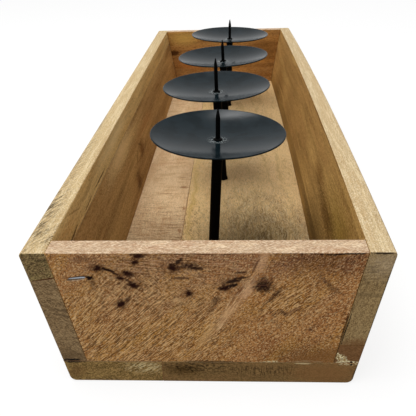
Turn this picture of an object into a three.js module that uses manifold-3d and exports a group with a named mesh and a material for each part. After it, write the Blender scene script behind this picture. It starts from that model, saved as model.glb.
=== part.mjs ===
// Wooden candle tray: a long trough of mango wood with leaning sides, and four
// black pricket holders in a row, each screwed to the floor from below.
// Millimetres and degrees. +X is to the right, +Y to the back, +Z up, and the
// origin is under the middle of the tray. Holder 1 is the nearest to the front.

import * as THREE from "three";
import { mergeVertices } from "three/addons/utils/BufferGeometryUtils.js";
import Module from "manifold-3d";

const wasm = await Module();
wasm.setup();

// Trough: overall sizes.
const LENGTH = 612;
const TOP_WIDTH = 200;
const BOTTOM_WIDTH = 170.4;
const HEIGHT = 93.9;

// Boards: thicknesses, the sides' one square to their own face.
const BASE_THICKNESS = 16.2;
const SIDE_THICKNESS = 14.3;
const PANEL_THICKNESS = 12.4;

// Edge-glued strips: the narrow board of the base, the top strip of the left
// side measured down its face, and the low strip under the right side board.
const NARROW_BASE_WIDTH = 57.2;
const LEFT_STRIP_WIDTH = 18.1;
const RIGHT_STRIP_HEIGHT = 14.1;

// The right side board has bowed outwards, most at the middle of its length.
const RIGHT_BOW = 3.5;

// Glue lines between boards, and the sanded roundings of the finished trough.
const GLUE_LINE = 0.3;
const TOP_ROUND = 2;
const FOOT_ROUND = 4.5;
const END_ROUND = 1;
const STOCK = 2;

// Brads that pin the boards while the glue dries.
const BRAD_LENGTH = 32;
const BRAD_DIAMETER = 1.6;
const BRAD_POINT = 2.4;
const BRAD_HEAD_DIAMETER = 2.8;
const BRAD_HEAD_HEIGHT = 0.8;
const BRAD_SINK = 1;
const BRAD_CLEARANCE = 0.3;
const CORNER_BRAD_DROP = 20.9;
const CORNER_BRAD_PITCH = 24.5;
const CORNER_BRADS = 3;
const EDGE_BRAD_INSET = 50;
const EDGE_BRADS = 4;
const PANEL_BRAD_SPACING = 80;

// The highest brad of the front left corner wandered and broke out of the
// panel's front face, in a split that leaves its shank in view.
const STRAY_BRAD_START = 3.6;
const STRAY_BRAD_TIP = 0.9;
const SPLIT_LENGTH = 11.4;
const SPLIT_HEIGHT = 2.6;
const SPLIT_DEPTH = 2.4;
const SPLIT_SETBACK = 6.6;

// Holders: one pitch along the row, then what is different on each one, made
// by hand. Leans are to the right where they are positive.
const HOLDER_PITCH = 117.5;
const HOLDERS = [
  { along: 1.2, foot: -1.3, lean: 3.4, headLean: 1.4, spike: 24 },
  { along: 2.8, foot: 4.3, lean: -3.0, headLean: -0.7, spike: 31 },
  { along: 0.4, foot: 6.2, lean: -1.5, headLean: -1.5, spike: 23.5 },
  { along: 0.9, foot: 7.5, lean: 2.0, headLean: 1.0, spike: 24.7 },
];
const SEAT_GAP = 0.3;

// Posts of round bar, swelled a little at the foot and welded to the dish.
const POST_DIAMETER = 8;
const POST_HEIGHT = 87.2;
const FOOT_DIAMETER = 9.4;
const FOOT_SWELL = 2.5;
const FOOT_TRIM = 2;
const WELD_DIAMETER = 10.4;
const WELD_HEIGHT = 1.8;

// Dishes pressed from sheet.
const DISH_DIAMETER = 98;
const DISH_DEPTH = 7;
const DISH_SHEET = 1.2;
const DISH_RINGS = 5;

// Spikes, with a stem that goes through the dish into the head of the post.
const SPIKE_DIAMETER = 3.4;
const SPIKE_POINT = 7.5;
const SPIKE_TIP_DIAMETER = 0.7;
const SPIKE_SOCKET = 5;
const BEAD_DIAMETER = 7;
const BEAD_HEIGHT = 1.5;

// Countersunk machine screws, driven up through the base into the posts.
const SCREW_DIAMETER = 4;
const SCREW_LENGTH = 25;
const SCREW_HEAD_DIAMETER = 7.8;
const SCREW_HEAD_HEIGHT = 2.3;
const SCREW_SINK = 0.8;
const SCREW_CLEARANCE = 0.3;
const TAP_RESERVE = 3;
const RECESS_SPAN = 4.2;
const RECESS_WIDTH = 0.9;
const RECESS_DEPTH = 1.5;

// Fineness of the round forms.
const DISH_SIDES = 40;
const POST_SIDES = 20;
const SPIKE_SIDES = 12;
const SCREW_SIDES = 16;
const BRAD_SIDES = 8;
const SPLIT_SIDES = 16;
const BEND_STEPS = 12;
const ROUND_STEPS = 3;
const MERGE_DISTANCE = 1e-4;

// Sizes that follow from the driving ones.
const LEAN = Math.atan2((TOP_WIDTH - BOTTOM_WIDTH) / 2, HEIGHT);
const SIDE_LEVEL_THICKNESS = SIDE_THICKNESS / Math.cos(LEAN);
const SEAM_RISE = SIDE_LEVEL_THICKNESS * Math.tan(LEAN);
const BASE_SEAM = NARROW_BASE_WIDTH - BOTTOM_WIDTH / 2;
const BOARD_FOOT = BASE_THICKNESS + GLUE_LINE;
const UP = new THREE.Vector3(0, 0, 1);

const finish = (color, roughness, metalness) =>
  new THREE.MeshStandardMaterial({ color, roughness, metalness });

const OLIVE_WOOD = { color: "#8a6c40", roughness: 0.72, metalness: 0 };
const WARM_WOOD = { color: "#96703f", roughness: 0.7, metalness: 0 };
const PALE_WOOD = { color: "#b3905f", roughness: 0.72, metalness: 0 };
const BLACK_PAINT = { color: "#2b3136", roughness: 0.42, metalness: 0.3 };
const BRIGHT_STEEL = { color: "#b9bbbd", roughness: 0.35, metalness: 0.9 };

// Half-widths of the trough at a height, to a side's outer and inner face.
function outerAt(z) {
  return BOTTOM_WIDTH / 2 + z * Math.tan(LEAN);
}

function innerAt(z) {
  return outerAt(z) - SIDE_LEVEL_THICKNESS;
}

// How far the bow carries the wood sideways at a place: all of it in the right
// side board, none of it left of the seam of the base, and evenly between.
function bowAt(x, y) {
  const share = THREE.MathUtils.clamp((x - BASE_SEAM) / (innerAt(BASE_THICKNESS) - BASE_SEAM), 0, 1);
  const arch = 1 - (2 * y / LENGTH) ** 2;
  return RIGHT_BOW * share * arch;
}

function bend(geometry) {
  const places = geometry.getAttribute("position");
  for (let i = 0; i < places.count; i += 1) {
    places.setX(i, places.getX(i) + bowAt(places.getX(i), places.getY(i)));
  }
  return geometry;
}

// A closed mesh as a solid that can be joined and cut, and back again.
function solidOf(geometry) {
  const bare = new THREE.BufferGeometry();
  bare.setAttribute("position", geometry.getAttribute("position"));
  bare.setIndex(geometry.getIndex());
  const merged = mergeVertices(bare, MERGE_DISTANCE);
  const corners = merged.getIndex().array;
  const faces = [];
  for (let i = 0; i < corners.length; i += 3) {
    const [a, b, c] = corners.slice(i, i + 3);
    if (a !== b && b !== c && c !== a) {
      faces.push(a, b, c);
    }
  }
  return new wasm.Manifold(new wasm.Mesh({
    numProp: 3,
    vertProperties: new Float32Array(merged.getAttribute("position").array),
    triVerts: new Uint32Array(faces),
  }));
}

function geometryOf(solid) {
  const mesh = solid.getMesh();
  const geometry = new THREE.BufferGeometry();
  geometry.setAttribute("position", new THREE.BufferAttribute(mesh.vertProperties, 3));
  geometry.setIndex(new THREE.BufferAttribute(mesh.triVerts, 1));
  geometry.computeVertexNormals();
  return geometry;
}

function cut(geometry, cutters) {
  const solid = cutters.reduce((rest, cutter) => rest.subtract(solidOf(cutter)), solidOf(geometry));
  return geometryOf(solid);
}

function part(name, geometry, look) {
  const mesh = new THREE.Mesh(geometry, finish(look.color, look.roughness, look.metalness));
  mesh.name = name;
  return mesh;
}

// A turned form about the Z axis, from [radius, height] pairs.
function turned(profile, sides) {
  const points = profile.map(([radius, height]) => new THREE.Vector2(radius, height));
  return new THREE.LatheGeometry(points, sides).rotateX(Math.PI / 2);
}

// A length of wood along Y, from its outline in X and Z.
function plank(outline, from, to, steps) {
  const shape = new THREE.Shape(outline.map(([x, z]) => new THREE.Vector2(x, z)));
  const settings = { depth: to - from, steps, bevelEnabled: false };
  return new THREE.ExtrudeGeometry(shape, settings).rotateX(Math.PI / 2).translate(0, to, 0);
}

// A closed outline whose corners are [x, z, rounding].
function roundedShape(corners) {
  const shape = new THREE.Shape();
  corners.forEach(([x, z, round], i) => {
    const corner = new THREE.Vector2(x, z);
    const [before, after] = [corners.at(i - 1), corners[(i + 1) % corners.length]].map(
      ([nextX, nextZ]) => new THREE.Vector2(nextX, nextZ).sub(corner).setLength(round).add(corner),
    );
    if (i === 0) {
      shape.moveTo(before.x, before.y);
    } else {
      shape.lineTo(before.x, before.y);
    }
    shape.quadraticCurveTo(corner.x, corner.y, after.x, after.y);
  });
  shape.closePath();
  return shape;
}

// The outer form that the glued trough is planed and sanded to. The ends are
// eased by no more than the tight middle of the roundings along the length.
function sandedForm() {
  const low = outerAt(0);
  const high = outerAt(HEIGHT);
  const ease = Math.min(END_ROUND, TOP_ROUND / 2, FOOT_ROUND / 2);
  const shape = roundedShape([
    [-low, 0, FOOT_ROUND],
    [low, 0, FOOT_ROUND],
    [high, HEIGHT, TOP_ROUND],
    [-high, HEIGHT, TOP_ROUND],
  ]);
  const settings = {
    depth: LENGTH - 2 * ease,
    steps: BEND_STEPS,
    curveSegments: ROUND_STEPS,
    bevelThickness: ease,
    bevelSize: ease,
    bevelOffset: -ease,
    bevelSegments: ROUND_STEPS,
  };
  const form = new THREE.ExtrudeGeometry(shape, settings).rotateX(Math.PI / 2);
  return bend(form.translate(0, LENGTH / 2 - ease, 0));
}

// A board of one side between two seams. A seam is its height at the outer
// face and how far it rises to the inner face.
function sideBoard(hand, lower, upper) {
  const outlineOf = (seam) => {
    const stockDrop = seam.rise * STOCK / SIDE_LEVEL_THICKNESS;
    return [
      [innerAt(seam.z + seam.rise), seam.z + seam.rise],
      [outerAt(seam.z - stockDrop) + STOCK, seam.z - stockDrop],
    ];
  };
  const [lowerInner, lowerOuter] = outlineOf(lower);
  const [upperInner, upperOuter] = outlineOf(upper);
  const outline = [lowerInner, lowerOuter, upperOuter, upperInner].map(([x, z]) => [hand * x, z]);
  return bend(plank(outline, -LENGTH / 2 - STOCK, LENGTH / 2 + STOCK, BEND_STEPS));
}

// A board of the base between two places across the trough.
function baseBoard(left, right) {
  const outline = [[left, -STOCK], [right, -STOCK], [right, BASE_THICKNESS], [left, BASE_THICKNESS]];
  return bend(plank(outline, -LENGTH / 2 - STOCK, LENGTH / 2 + STOCK, BEND_STEPS));
}

// An end panel, let in between the sides and standing on the base.
function endPanel(end) {
  const low = innerAt(BOARD_FOOT) - GLUE_LINE;
  const high = innerAt(HEIGHT + STOCK) - GLUE_LINE;
  const outline = [[-low, BOARD_FOOT], [low, BOARD_FOOT], [high, HEIGHT + STOCK], [-high, HEIGHT + STOCK]];
  const inside = end * (LENGTH / 2 - PANEL_THICKNESS);
  const outside = end * (LENGTH / 2 + STOCK);
  return bend(plank(outline, Math.min(inside, outside), Math.max(inside, outside), 1));
}

// A brad, head at the origin and point along +Z, or with a clearance and a
// lead before its head the hole that it is driven in.
function bradForm(clearance, lead) {
  const head = BRAD_HEAD_DIAMETER / 2 + clearance;
  const shank = BRAD_DIAMETER / 2 + clearance;
  return turned([
    [0, -lead],
    [head, -lead],
    [head, BRAD_HEAD_HEIGHT + clearance],
    [shank, BRAD_HEAD_HEIGHT + clearance],
    [shank, BRAD_LENGTH - BRAD_POINT],
    [0, BRAD_LENGTH + clearance],
  ], BRAD_SIDES);
}

function driven(entry, direction) {
  const place = entry.clone().addScaledVector(direction, BRAD_SINK);
  place.x += bowAt(place.x, place.y);
  const turn = new THREE.Quaternion().setFromUnitVectors(UP, direction);
  return new THREE.Matrix4().compose(place, turn, new THREE.Vector3(1, 1, 1));
}

// Brads through one side into the edge of one end panel, square to the side.
function cornerBrads(label, hand, end) {
  const middle = end * (LENGTH / 2 - PANEL_THICKNESS / 2);
  return Array.from({ length: CORNER_BRADS }, (_, i) => {
    const z = HEIGHT - CORNER_BRAD_DROP - i * CORNER_BRAD_PITCH;
    const entry = new THREE.Vector3(hand * outerAt(z), middle, z);
    const direction = new THREE.Vector3(-hand * Math.cos(LEAN), 0, Math.sin(LEAN));
    return { name: `${label}_brad_${i + 1}`, placement: driven(entry, direction) };
  });
}

// The stray brad starts nearer to the front face and runs out towards it.
function strayBrad(name) {
  const z = HEIGHT - CORNER_BRAD_DROP;
  const entry = new THREE.Vector3(-outerAt(z), STRAY_BRAD_START - LENGTH / 2, z);
  const drift = (STRAY_BRAD_START - STRAY_BRAD_TIP) / BRAD_LENGTH;
  const direction = new THREE.Vector3(Math.cos(LEAN), -drift, Math.sin(LEAN)).normalize();
  return { name, placement: driven(entry, direction) };
}

// The split that the stray brad tore in the panel: a thin lens along its tip.
function splitForm(placement) {
  const lens = new THREE.SphereGeometry(1, SPLIT_SIDES, SPLIT_SIDES / 2)
    .scale(SPLIT_HEIGHT / 2, SPLIT_DEPTH, SPLIT_LENGTH / 2);
  const centre = new THREE.Vector3(0, 0, BRAD_LENGTH - SPLIT_SETBACK).applyMatrix4(placement);
  const turn = new THREE.Matrix4().extractRotation(placement);
  return lens.applyMatrix4(turn).translate(centre.x, -LENGTH / 2, centre.z);
}

// Brads from below: into the foot of each side, and into the end panels. One
// in a side crosses the middle of its thickness half way up what it grips.
function edgeBrads(label, hand) {
  const run = LENGTH - 2 * EDGE_BRAD_INSET;
  const grip = BRAD_SINK + BRAD_LENGTH - BASE_THICKNESS;
  const x = hand * (outerAt(BASE_THICKNESS + grip / 2) - SIDE_LEVEL_THICKNESS / 2);
  return Array.from({ length: EDGE_BRADS }, (_, i) => {
    const y = -run / 2 + i * run / (EDGE_BRADS - 1);
    return { name: `${label}_brad_${i + 1}`, placement: driven(new THREE.Vector3(x, y, 0), UP) };
  });
}

function panelFootBrads(label, end) {
  const y = end * (LENGTH / 2 - PANEL_THICKNESS / 2);
  return [-1, 1].map((hand, i) => {
    const entry = new THREE.Vector3(hand * PANEL_BRAD_SPACING / 2, y, 0);
    return { name: `${label}_brad_${i + 1}`, placement: driven(entry, UP) };
  });
}

// Where a holder stands: turned by its lean about the middle of its foot.
function holderPlacement(holder, i) {
  const row = (i - (HOLDERS.length - 1) / 2) * HOLDER_PITCH + holder.along;
  const lean = new THREE.Matrix4().makeRotationY(THREE.MathUtils.degToRad(holder.lean));
  return new THREE.Matrix4().makeTranslation(holder.foot, row, BASE_THICKNESS).multiply(lean);
}

// A screw, or with a clearance and a lead before its head the hole for it.
function screwForm(clearance, lead) {
  const head = SCREW_HEAD_DIAMETER / 2 + clearance;
  const shank = SCREW_DIAMETER / 2 + clearance;
  const foot = SCREW_SINK - BASE_THICKNESS;
  return turned([
    [0, foot - lead],
    [head, foot - lead],
    [head, foot],
    [shank, foot + SCREW_HEAD_HEIGHT],
    [shank, foot + SCREW_LENGTH],
    [0, foot + SCREW_LENGTH],
  ], SCREW_SIDES);
}

function screw() {
  const depth = 2 * RECESS_DEPTH;
  const height = SCREW_SINK - BASE_THICKNESS;
  const slots = [[RECESS_SPAN, RECESS_WIDTH], [RECESS_WIDTH, RECESS_SPAN]].map(
    ([x, y]) => new THREE.BoxGeometry(x, y, depth).translate(0, 0, height),
  );
  return cut(screwForm(0, 0), slots);
}

// The post's foot is dressed level, so that it stands on the floor in spite
// of its lean.
function post(placement) {
  const bore = SCREW_DIAMETER / 2 + SCREW_CLEARANCE;
  const boreTop = SCREW_SINK + SCREW_LENGTH - BASE_THICKNESS + TAP_RESERVE;
  const socket = SPIKE_DIAMETER / 2 + SEAT_GAP;
  const bar = turned([
    [0, boreTop],
    [bore, boreTop],
    [bore, -FOOT_TRIM],
    [FOOT_DIAMETER / 2, -FOOT_TRIM],
    [FOOT_DIAMETER / 2, SEAT_GAP],
    [POST_DIAMETER / 2, FOOT_SWELL],
    [POST_DIAMETER / 2, POST_HEIGHT - WELD_HEIGHT],
    [WELD_DIAMETER / 2, POST_HEIGHT],
    [socket, POST_HEIGHT],
    [socket, POST_HEIGHT - SPIKE_SOCKET - SEAT_GAP],
    [0, POST_HEIGHT - SPIKE_SOCKET - SEAT_GAP],
  ], POST_SIDES);
  const foot = new THREE.Vector3().setFromMatrixPosition(placement);
  const floor = new THREE.BoxGeometry(LENGTH, LENGTH, BASE_THICKNESS)
    .translate(foot.x, foot.y, BASE_THICKNESS / 2 + SEAT_GAP)
    .applyMatrix4(placement.clone().invert());
  return cut(bar, [floor]);
}

// A shallow dish, a cap of two spheres about one centre with a rounded rim.
function dish() {
  const rim = (DISH_DIAMETER - DISH_SHEET) / 2;
  const inner = (rim * rim + DISH_DEPTH * DISH_DEPTH) / (2 * DISH_DEPTH);
  const outer = inner + DISH_SHEET;
  const hole = SPIKE_DIAMETER / 2 + SEAT_GAP;
  const last = Math.asin(rim / (inner + DISH_SHEET / 2));
  const arc = (radius, i) => {
    const first = Math.asin(hole / radius);
    const angle = first + (last - first) * i / DISH_RINGS;
    return [radius * Math.sin(angle), outer - radius * Math.cos(angle)];
  };
  const rings = Array.from({ length: DISH_RINGS + 1 }, (_, i) => i);
  const edge = [
    (inner + DISH_SHEET / 2) * Math.sin(last) + DISH_SHEET / 2 * Math.cos(last),
    outer - (inner + DISH_SHEET / 2) * Math.cos(last) + DISH_SHEET / 2 * Math.sin(last),
  ];
  const under = rings.map((i) => arc(outer, i));
  const over = rings.map((i) => arc(inner, i)).reverse();
  return turned([...under, edge, ...over, under[0]], DISH_SIDES);
}

// The spike stands in a bead of weld on the floor of the dish.
function spike(length) {
  const shank = SPIKE_DIAMETER / 2;
  const bead = BEAD_DIAMETER / 2;
  const seat = DISH_SHEET + SEAT_GAP;
  const top = DISH_SHEET + length;
  const crown = Array.from({ length: ROUND_STEPS + 1 }, (_, i) => {
    const angle = i * Math.PI / 2 / ROUND_STEPS;
    return [shank + (bead - shank) * Math.cos(angle), seat + BEAD_HEIGHT * Math.sin(angle)];
  });
  return turned([
    [0, -SPIKE_SOCKET],
    [shank, -SPIKE_SOCKET],
    [shank, seat],
    ...crown,
    [shank, top - SPIKE_POINT],
    [SPIKE_TIP_DIAMETER / 2, top],
    [0, top],
  ], SPIKE_SIDES);
}

function holderGroup(holder, i) {
  const label = `holder_${i + 1}`;
  const placement = holderPlacement(holder, i);
  const group = new THREE.Group();
  group.applyMatrix4(placement);
  group.add(part(`${label}_post`, post(placement), BLACK_PAINT));
  group.add(part(`${label}_screw`, screw(), BRIGHT_STEEL));

  const head = new THREE.Group();
  head.position.z = POST_HEIGHT + SEAT_GAP;
  head.rotation.y = THREE.MathUtils.degToRad(holder.headLean - holder.lean);
  head.add(part(`${label}_dish`, dish(), BLACK_PAINT));
  head.add(part(`${label}_spike`, spike(holder.spike), BLACK_PAINT));
  group.add(head);
  return group;
}

// Everything that fastens the trough, in the order in which it is driven.
const stray = strayBrad("front_left_brad_1");
const brads = [
  stray,
  ...cornerBrads("front_left", -1, -1).slice(1),
  ...cornerBrads("front_right", 1, -1),
  ...cornerBrads("back_left", -1, 1),
  ...cornerBrads("back_right", 1, 1),
  ...edgeBrads("left_foot", -1),
  ...edgeBrads("right_foot", 1),
  ...panelFootBrads("front_foot", -1),
  ...panelFootBrads("back_foot", 1),
];

// The boards, in the rough, before they are sanded and bored.
const floorSeam = { z: BOARD_FOOT, rise: 0 };
const topCut = { z: HEIGHT + STOCK, rise: 0 };
const leftSeamHeight = HEIGHT - LEFT_STRIP_WIDTH * Math.cos(LEAN) - SEAM_RISE / 2;
const rightSeamHeight = BASE_THICKNESS + RIGHT_STRIP_HEIGHT;
const boards = {
  base_narrow_board: {
    look: PALE_WOOD,
    rough: baseBoard(-outerAt(BASE_THICKNESS) - STOCK, BASE_SEAM - GLUE_LINE / 2),
  },
  base_wide_board: {
    look: PALE_WOOD,
    rough: baseBoard(BASE_SEAM + GLUE_LINE / 2, outerAt(BASE_THICKNESS) + STOCK),
  },
  left_side_board: {
    look: OLIVE_WOOD,
    rough: sideBoard(-1, floorSeam, { z: leftSeamHeight - GLUE_LINE / 2, rise: SEAM_RISE }),
  },
  left_side_top_strip: {
    look: OLIVE_WOOD,
    rough: sideBoard(-1, { z: leftSeamHeight + GLUE_LINE / 2, rise: SEAM_RISE }, topCut),
  },
  right_side_low_strip: {
    look: WARM_WOOD,
    rough: sideBoard(1, floorSeam, { z: rightSeamHeight - GLUE_LINE / 2, rise: 0 }),
  },
  right_side_board: {
    look: OLIVE_WOOD,
    rough: sideBoard(1, { z: rightSeamHeight + GLUE_LINE / 2, rise: 0 }, topCut),
  },
  front_panel: { look: WARM_WOOD, rough: endPanel(-1) },
  back_panel: { look: WARM_WOOD, rough: endPanel(1) },
};

const tray = new THREE.Group();
const form = solidOf(sandedForm());
const bradHole = bradForm(BRAD_CLEARANCE, BRAD_SINK + STOCK);
const screwHole = screwForm(SCREW_CLEARANCE, SCREW_SINK + STOCK);
const holes = [
  ...brads.map(({ placement }) => bradHole.clone().applyMatrix4(placement)),
  ...HOLDERS.map((holder, i) => screwHole.clone().applyMatrix4(holderPlacement(holder, i))),
  splitForm(stray.placement),
];
for (const [name, { look, rough }] of Object.entries(boards)) {
  const sanded = geometryOf(solidOf(rough).intersect(form));
  tray.add(part(name, cut(sanded, holes), look));
}
for (const { name, placement } of brads) {
  const brad = part(name, bradForm(0, 0), BRIGHT_STEEL);
  brad.applyMatrix4(placement);
  tray.add(brad);
}
HOLDERS.forEach((holder, i) => tray.add(holderGroup(holder, i)));

// The bow widens the tray on one side only, so it is centred on the origin.
tray.position.x = -RIGHT_BOW / 2;

export default tray;
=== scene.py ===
"""Looks of a wooden candle tray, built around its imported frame.

A long trough of mango wood with leaning sides carries a row of four black
pricket holders. Boards, glue lines, brads, screws and holders are modelled
here at the places of the frame's solids and dressed with procedural finishes.
Metres, +X to the right, +Y to the back and +Z up. Holder 1 is at the front.
"""

import logging
import math
from collections.abc import Callable, Iterator, Mapping, Sequence
from contextlib import contextmanager
from dataclasses import dataclass, field, replace
from enum import Enum
from functools import cached_property

import bmesh
import bpy
from mathutils import Euler, Matrix, Vector


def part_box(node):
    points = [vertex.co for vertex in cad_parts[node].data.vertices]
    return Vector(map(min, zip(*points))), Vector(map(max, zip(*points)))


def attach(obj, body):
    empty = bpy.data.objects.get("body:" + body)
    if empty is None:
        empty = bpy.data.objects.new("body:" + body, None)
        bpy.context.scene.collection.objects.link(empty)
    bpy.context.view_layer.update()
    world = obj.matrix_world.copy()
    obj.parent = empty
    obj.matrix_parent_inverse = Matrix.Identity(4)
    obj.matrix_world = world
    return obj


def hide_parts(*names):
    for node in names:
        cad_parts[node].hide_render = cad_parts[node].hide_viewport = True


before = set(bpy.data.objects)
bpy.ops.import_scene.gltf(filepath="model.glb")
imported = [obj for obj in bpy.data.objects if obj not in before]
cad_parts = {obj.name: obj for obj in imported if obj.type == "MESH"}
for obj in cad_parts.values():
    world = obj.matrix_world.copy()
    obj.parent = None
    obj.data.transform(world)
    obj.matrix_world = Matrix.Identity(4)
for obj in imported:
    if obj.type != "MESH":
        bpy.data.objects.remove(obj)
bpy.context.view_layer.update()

LOG = logging.getLogger("candle_tray")
MM = 0.001
THROUGH = 1e5  # Depth in mm of a figure that goes all the way through the wood
SHARP = math.radians(50)  # Angle from which an edge of a board counts as an arris

Piece = bpy.types.Object
Socket = bpy.types.NodeSocket
Value = float | Socket
Point = tuple[float, float]
Place = tuple[float, float, float]


class Pick(Enum):
    """What an edit-mode selection takes."""

    VERT = "VERT"
    EDGE = "EDGE"
    FACE = "FACE"


class Side(Enum):
    """A side of a board, with the direction that it faces."""

    LEFT = (-1, 0, 0)
    RIGHT = (1, 0, 0)
    FRONT = (0, -1, 0)
    BACK = (0, 1, 0)
    BOTTOM = (0, 0, -1)
    TOP = (0, 0, 1)

    @property
    def direction(self) -> Vector:
        """The side's direction as a vector."""
        return Vector(self.value)


class Plane(Enum):
    """The plane of a face, as its level axis, its rising axis and the axis into the wood."""

    ACROSS = ((1, 0, 0), (0, 0, 1), (0, -1, 0))
    LEVEL = ((1, 0, 0), (0, 1, 0), (0, 0, 1))
    ALONG = ((0, 1, 0), (0, 0, 1), (1, 0, 0))

    def turn(self, slope: float) -> Euler:
        """Turn of a figure that lies in the plane and rises by a slope in degrees."""
        axes = Matrix(self.value).transposed()
        return (axes @ Matrix.Rotation(math.radians(slope), 3, "Z")).to_euler()

    def place(self, at: Point) -> Vector:
        """The point at two distances in the plane, in millimetres."""
        return Vector(self.value[0]) * at[0] * MM + Vector(self.value[1]) * at[1] * MM


def paint(tone: str) -> tuple[float, float, float, float]:
    """Read a colour.

    Args:
        tone: The colour as #rrggbb.

    Returns:
        Its linear red, green and blue, and an alpha of 1.
    """
    channels = [int(tone[i : i + 2], 16) / 255 for i in (1, 3, 5)]
    linear = [c / 12.92 if c <= 0.04045 else ((c + 0.055) / 1.055) ** 2.4 for c in channels]
    return (*linear, 1.0)


WHITE = paint("#ffffff")


# Shop tools

def take(*things: Piece) -> None:
    """Make these the only selected objects, and the first one active."""
    for thing in bpy.context.selected_objects:
        thing.select_set(False)
    for thing in things:
        thing.select_set(True)
    if things:
        bpy.context.view_layer.objects.active = things[0]


@contextmanager
def editing(thing: Piece) -> Iterator[None]:
    """Hold an object in edit mode.

    Args:
        thing: The object.

    Yields:
        Nothing, while the object can be edited.
    """
    take(thing)
    bpy.ops.object.mode_set(mode="EDIT")
    yield
    bpy.ops.object.mode_set(mode="OBJECT")


def pick(thing: Piece, kind: Pick, wanted: Callable[..., bool]) -> None:
    """Select the elements of a mesh in edit mode that pass a test.

    Args:
        thing: The object in edit mode.
        kind: Whether vertices, edges or faces are selected.
        wanted: Test of one element.
    """
    bpy.ops.mesh.select_mode(type=kind.value)
    bpy.ops.mesh.select_all(action="DESELECT")
    mesh = bmesh.from_edit_mesh(thing.data)
    elements = {Pick.VERT: mesh.verts, Pick.EDGE: mesh.edges, Pick.FACE: mesh.faces}[kind]
    for element in elements:
        if wanted(element):
            element.select_set(True)
    bmesh.update_edit_mesh(thing.data)


def settle(thing: Piece, name: str) -> Piece:
    """Name an object and move its place into its mesh.

    Args:
        thing: The object.
        name: Its name and its mesh's.

    Returns:
        The same object.
    """
    take(thing)
    bpy.ops.object.transform_apply(location=True, rotation=True, scale=True)
    thing.name = name
    thing.data.name = name
    return thing


def copy_to(thing: Piece, name: str, placement: Matrix) -> Piece:
    """Copy a piece that was modelled at the origin to its place in the tray.

    Args:
        thing: The piece at the origin.
        name: Name of the copy.
        placement: Where the copy goes.

    Returns:
        The copy, with a mesh of its own.
    """
    take(thing)
    bpy.ops.object.duplicate(linked=False)
    copy = bpy.context.object
    copy.matrix_world = placement
    return settle(copy, name)


def discard(*things: Piece) -> None:
    """Delete patterns and cutters that have done their work."""
    take(*things)
    bpy.ops.object.delete()


def apply_modifier(thing: Piece, kind: str, **settings: object) -> None:
    """Add a modifier and apply it.

    Args:
        thing: The object.
        kind: Blender's name of the modifier.
        settings: The modifier's settings.
    """
    take(thing)
    modifier = thing.modifiers.new(kind.title(), kind)
    for key, value in settings.items():
        setattr(modifier, key, value)
    bpy.context.view_layer.update()
    bpy.ops.object.modifier_apply(modifier=modifier.name)


def cut(thing: Piece, cutter: Piece) -> None:
    """Cut one solid out of another, before either has a finish."""
    apply_modifier(thing, "BOOLEAN", object=cutter, operation="DIFFERENCE", solver="MANIFOLD")
    thing.data.materials.clear()


def smooth(thing: Piece, degrees: float) -> None:
    """Shade smoothly, with flat faces kept flat.

    Args:
        thing: The object.
        degrees: Angle from which an edge stays sharp.
    """
    take(thing)
    bpy.ops.object.shade_smooth_by_angle(angle=math.radians(degrees))
    apply_modifier(thing, "WEIGHTED_NORMAL", keep_sharp=True)


def block(name: str, corners: Sequence[Point], ends: Point) -> Piece:
    """Saw a straight piece with four long edges.

    Args:
        name: Name of the piece.
        corners: Long edges in X and Z: lower left, lower right, upper right, upper left.
        ends: Places of its two ends in Y.

    Returns:
        The piece, with its origin at the tray's.
    """
    take()
    bpy.ops.mesh.primitive_cube_add(size=1)
    piece = settle(bpy.context.object, name)
    with editing(piece):
        for start, end in zip((-0.5, 0.5), ends):
            pick(piece, Pick.VERT, lambda v: abs(v.co.y - start) < MM)
            bpy.ops.transform.translate(value=(0, end - start, 0))
        rough_corners = ((-0.5, -0.5), (0.5, -0.5), (0.5, 0.5), (-0.5, 0.5))
        for (x, z), (side, level) in zip(corners, rough_corners):
            pick(piece, Pick.VERT, lambda v: abs(v.co.x - side) < MM and abs(v.co.z - level) < MM)
            bpy.ops.transform.translate(value=(x - side, 0, z - level))
    return piece


def turn(name: str, profile: Sequence[Point], sides: int) -> Piece:
    """Turn a form about the Z axis.

    Args:
        name: Name of the piece.
        profile: Radius and height of each point, from axis to axis or closed on itself.
        sides: Steps round the axis.

    Returns:
        The piece, with its axis on the world's Z axis.
    """
    take()
    bpy.ops.mesh.primitive_plane_add(size=MM)
    piece = settle(bpy.context.object, name)
    with editing(piece):
        bpy.ops.mesh.merge(type="CENTER")
        spot = Vector((0, 0, 0))
        for i, (radius, height) in enumerate(profile):
            step = Vector((radius, 0, height)) - spot
            if i == 0:
                bpy.ops.transform.translate(value=step)
            else:
                bpy.ops.mesh.extrude_region_move(TRANSFORM_OT_translate={"value": step})
            spot += step
        bpy.ops.mesh.select_all(action="SELECT")
        bpy.ops.mesh.spin(steps=sides, angle=math.tau, center=(0, 0, 0), axis=(0, 0, 1))
        bpy.ops.mesh.select_all(action="SELECT")
        bpy.ops.mesh.remove_doubles(threshold=MM / 1000)
        bpy.ops.mesh.normals_make_consistent(inside=False)
    return piece


def arc(middle: Point, radius: float, start: float, end: float, steps: int) -> list[Point]:
    """Points of an arc round a middle, from one angle in degrees to another."""
    angles = [math.radians(start + (end - start) * i / steps) for i in range(steps + 1)]
    return [(middle[0] + radius * math.cos(a), middle[1] + radius * math.sin(a)) for a in angles]


# Node graphs

COLOUR_SHARE, COLOUR_FIRST, COLOUR_SECOND = 0, 6, 7  # Inputs of a Mix node for colours


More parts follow.
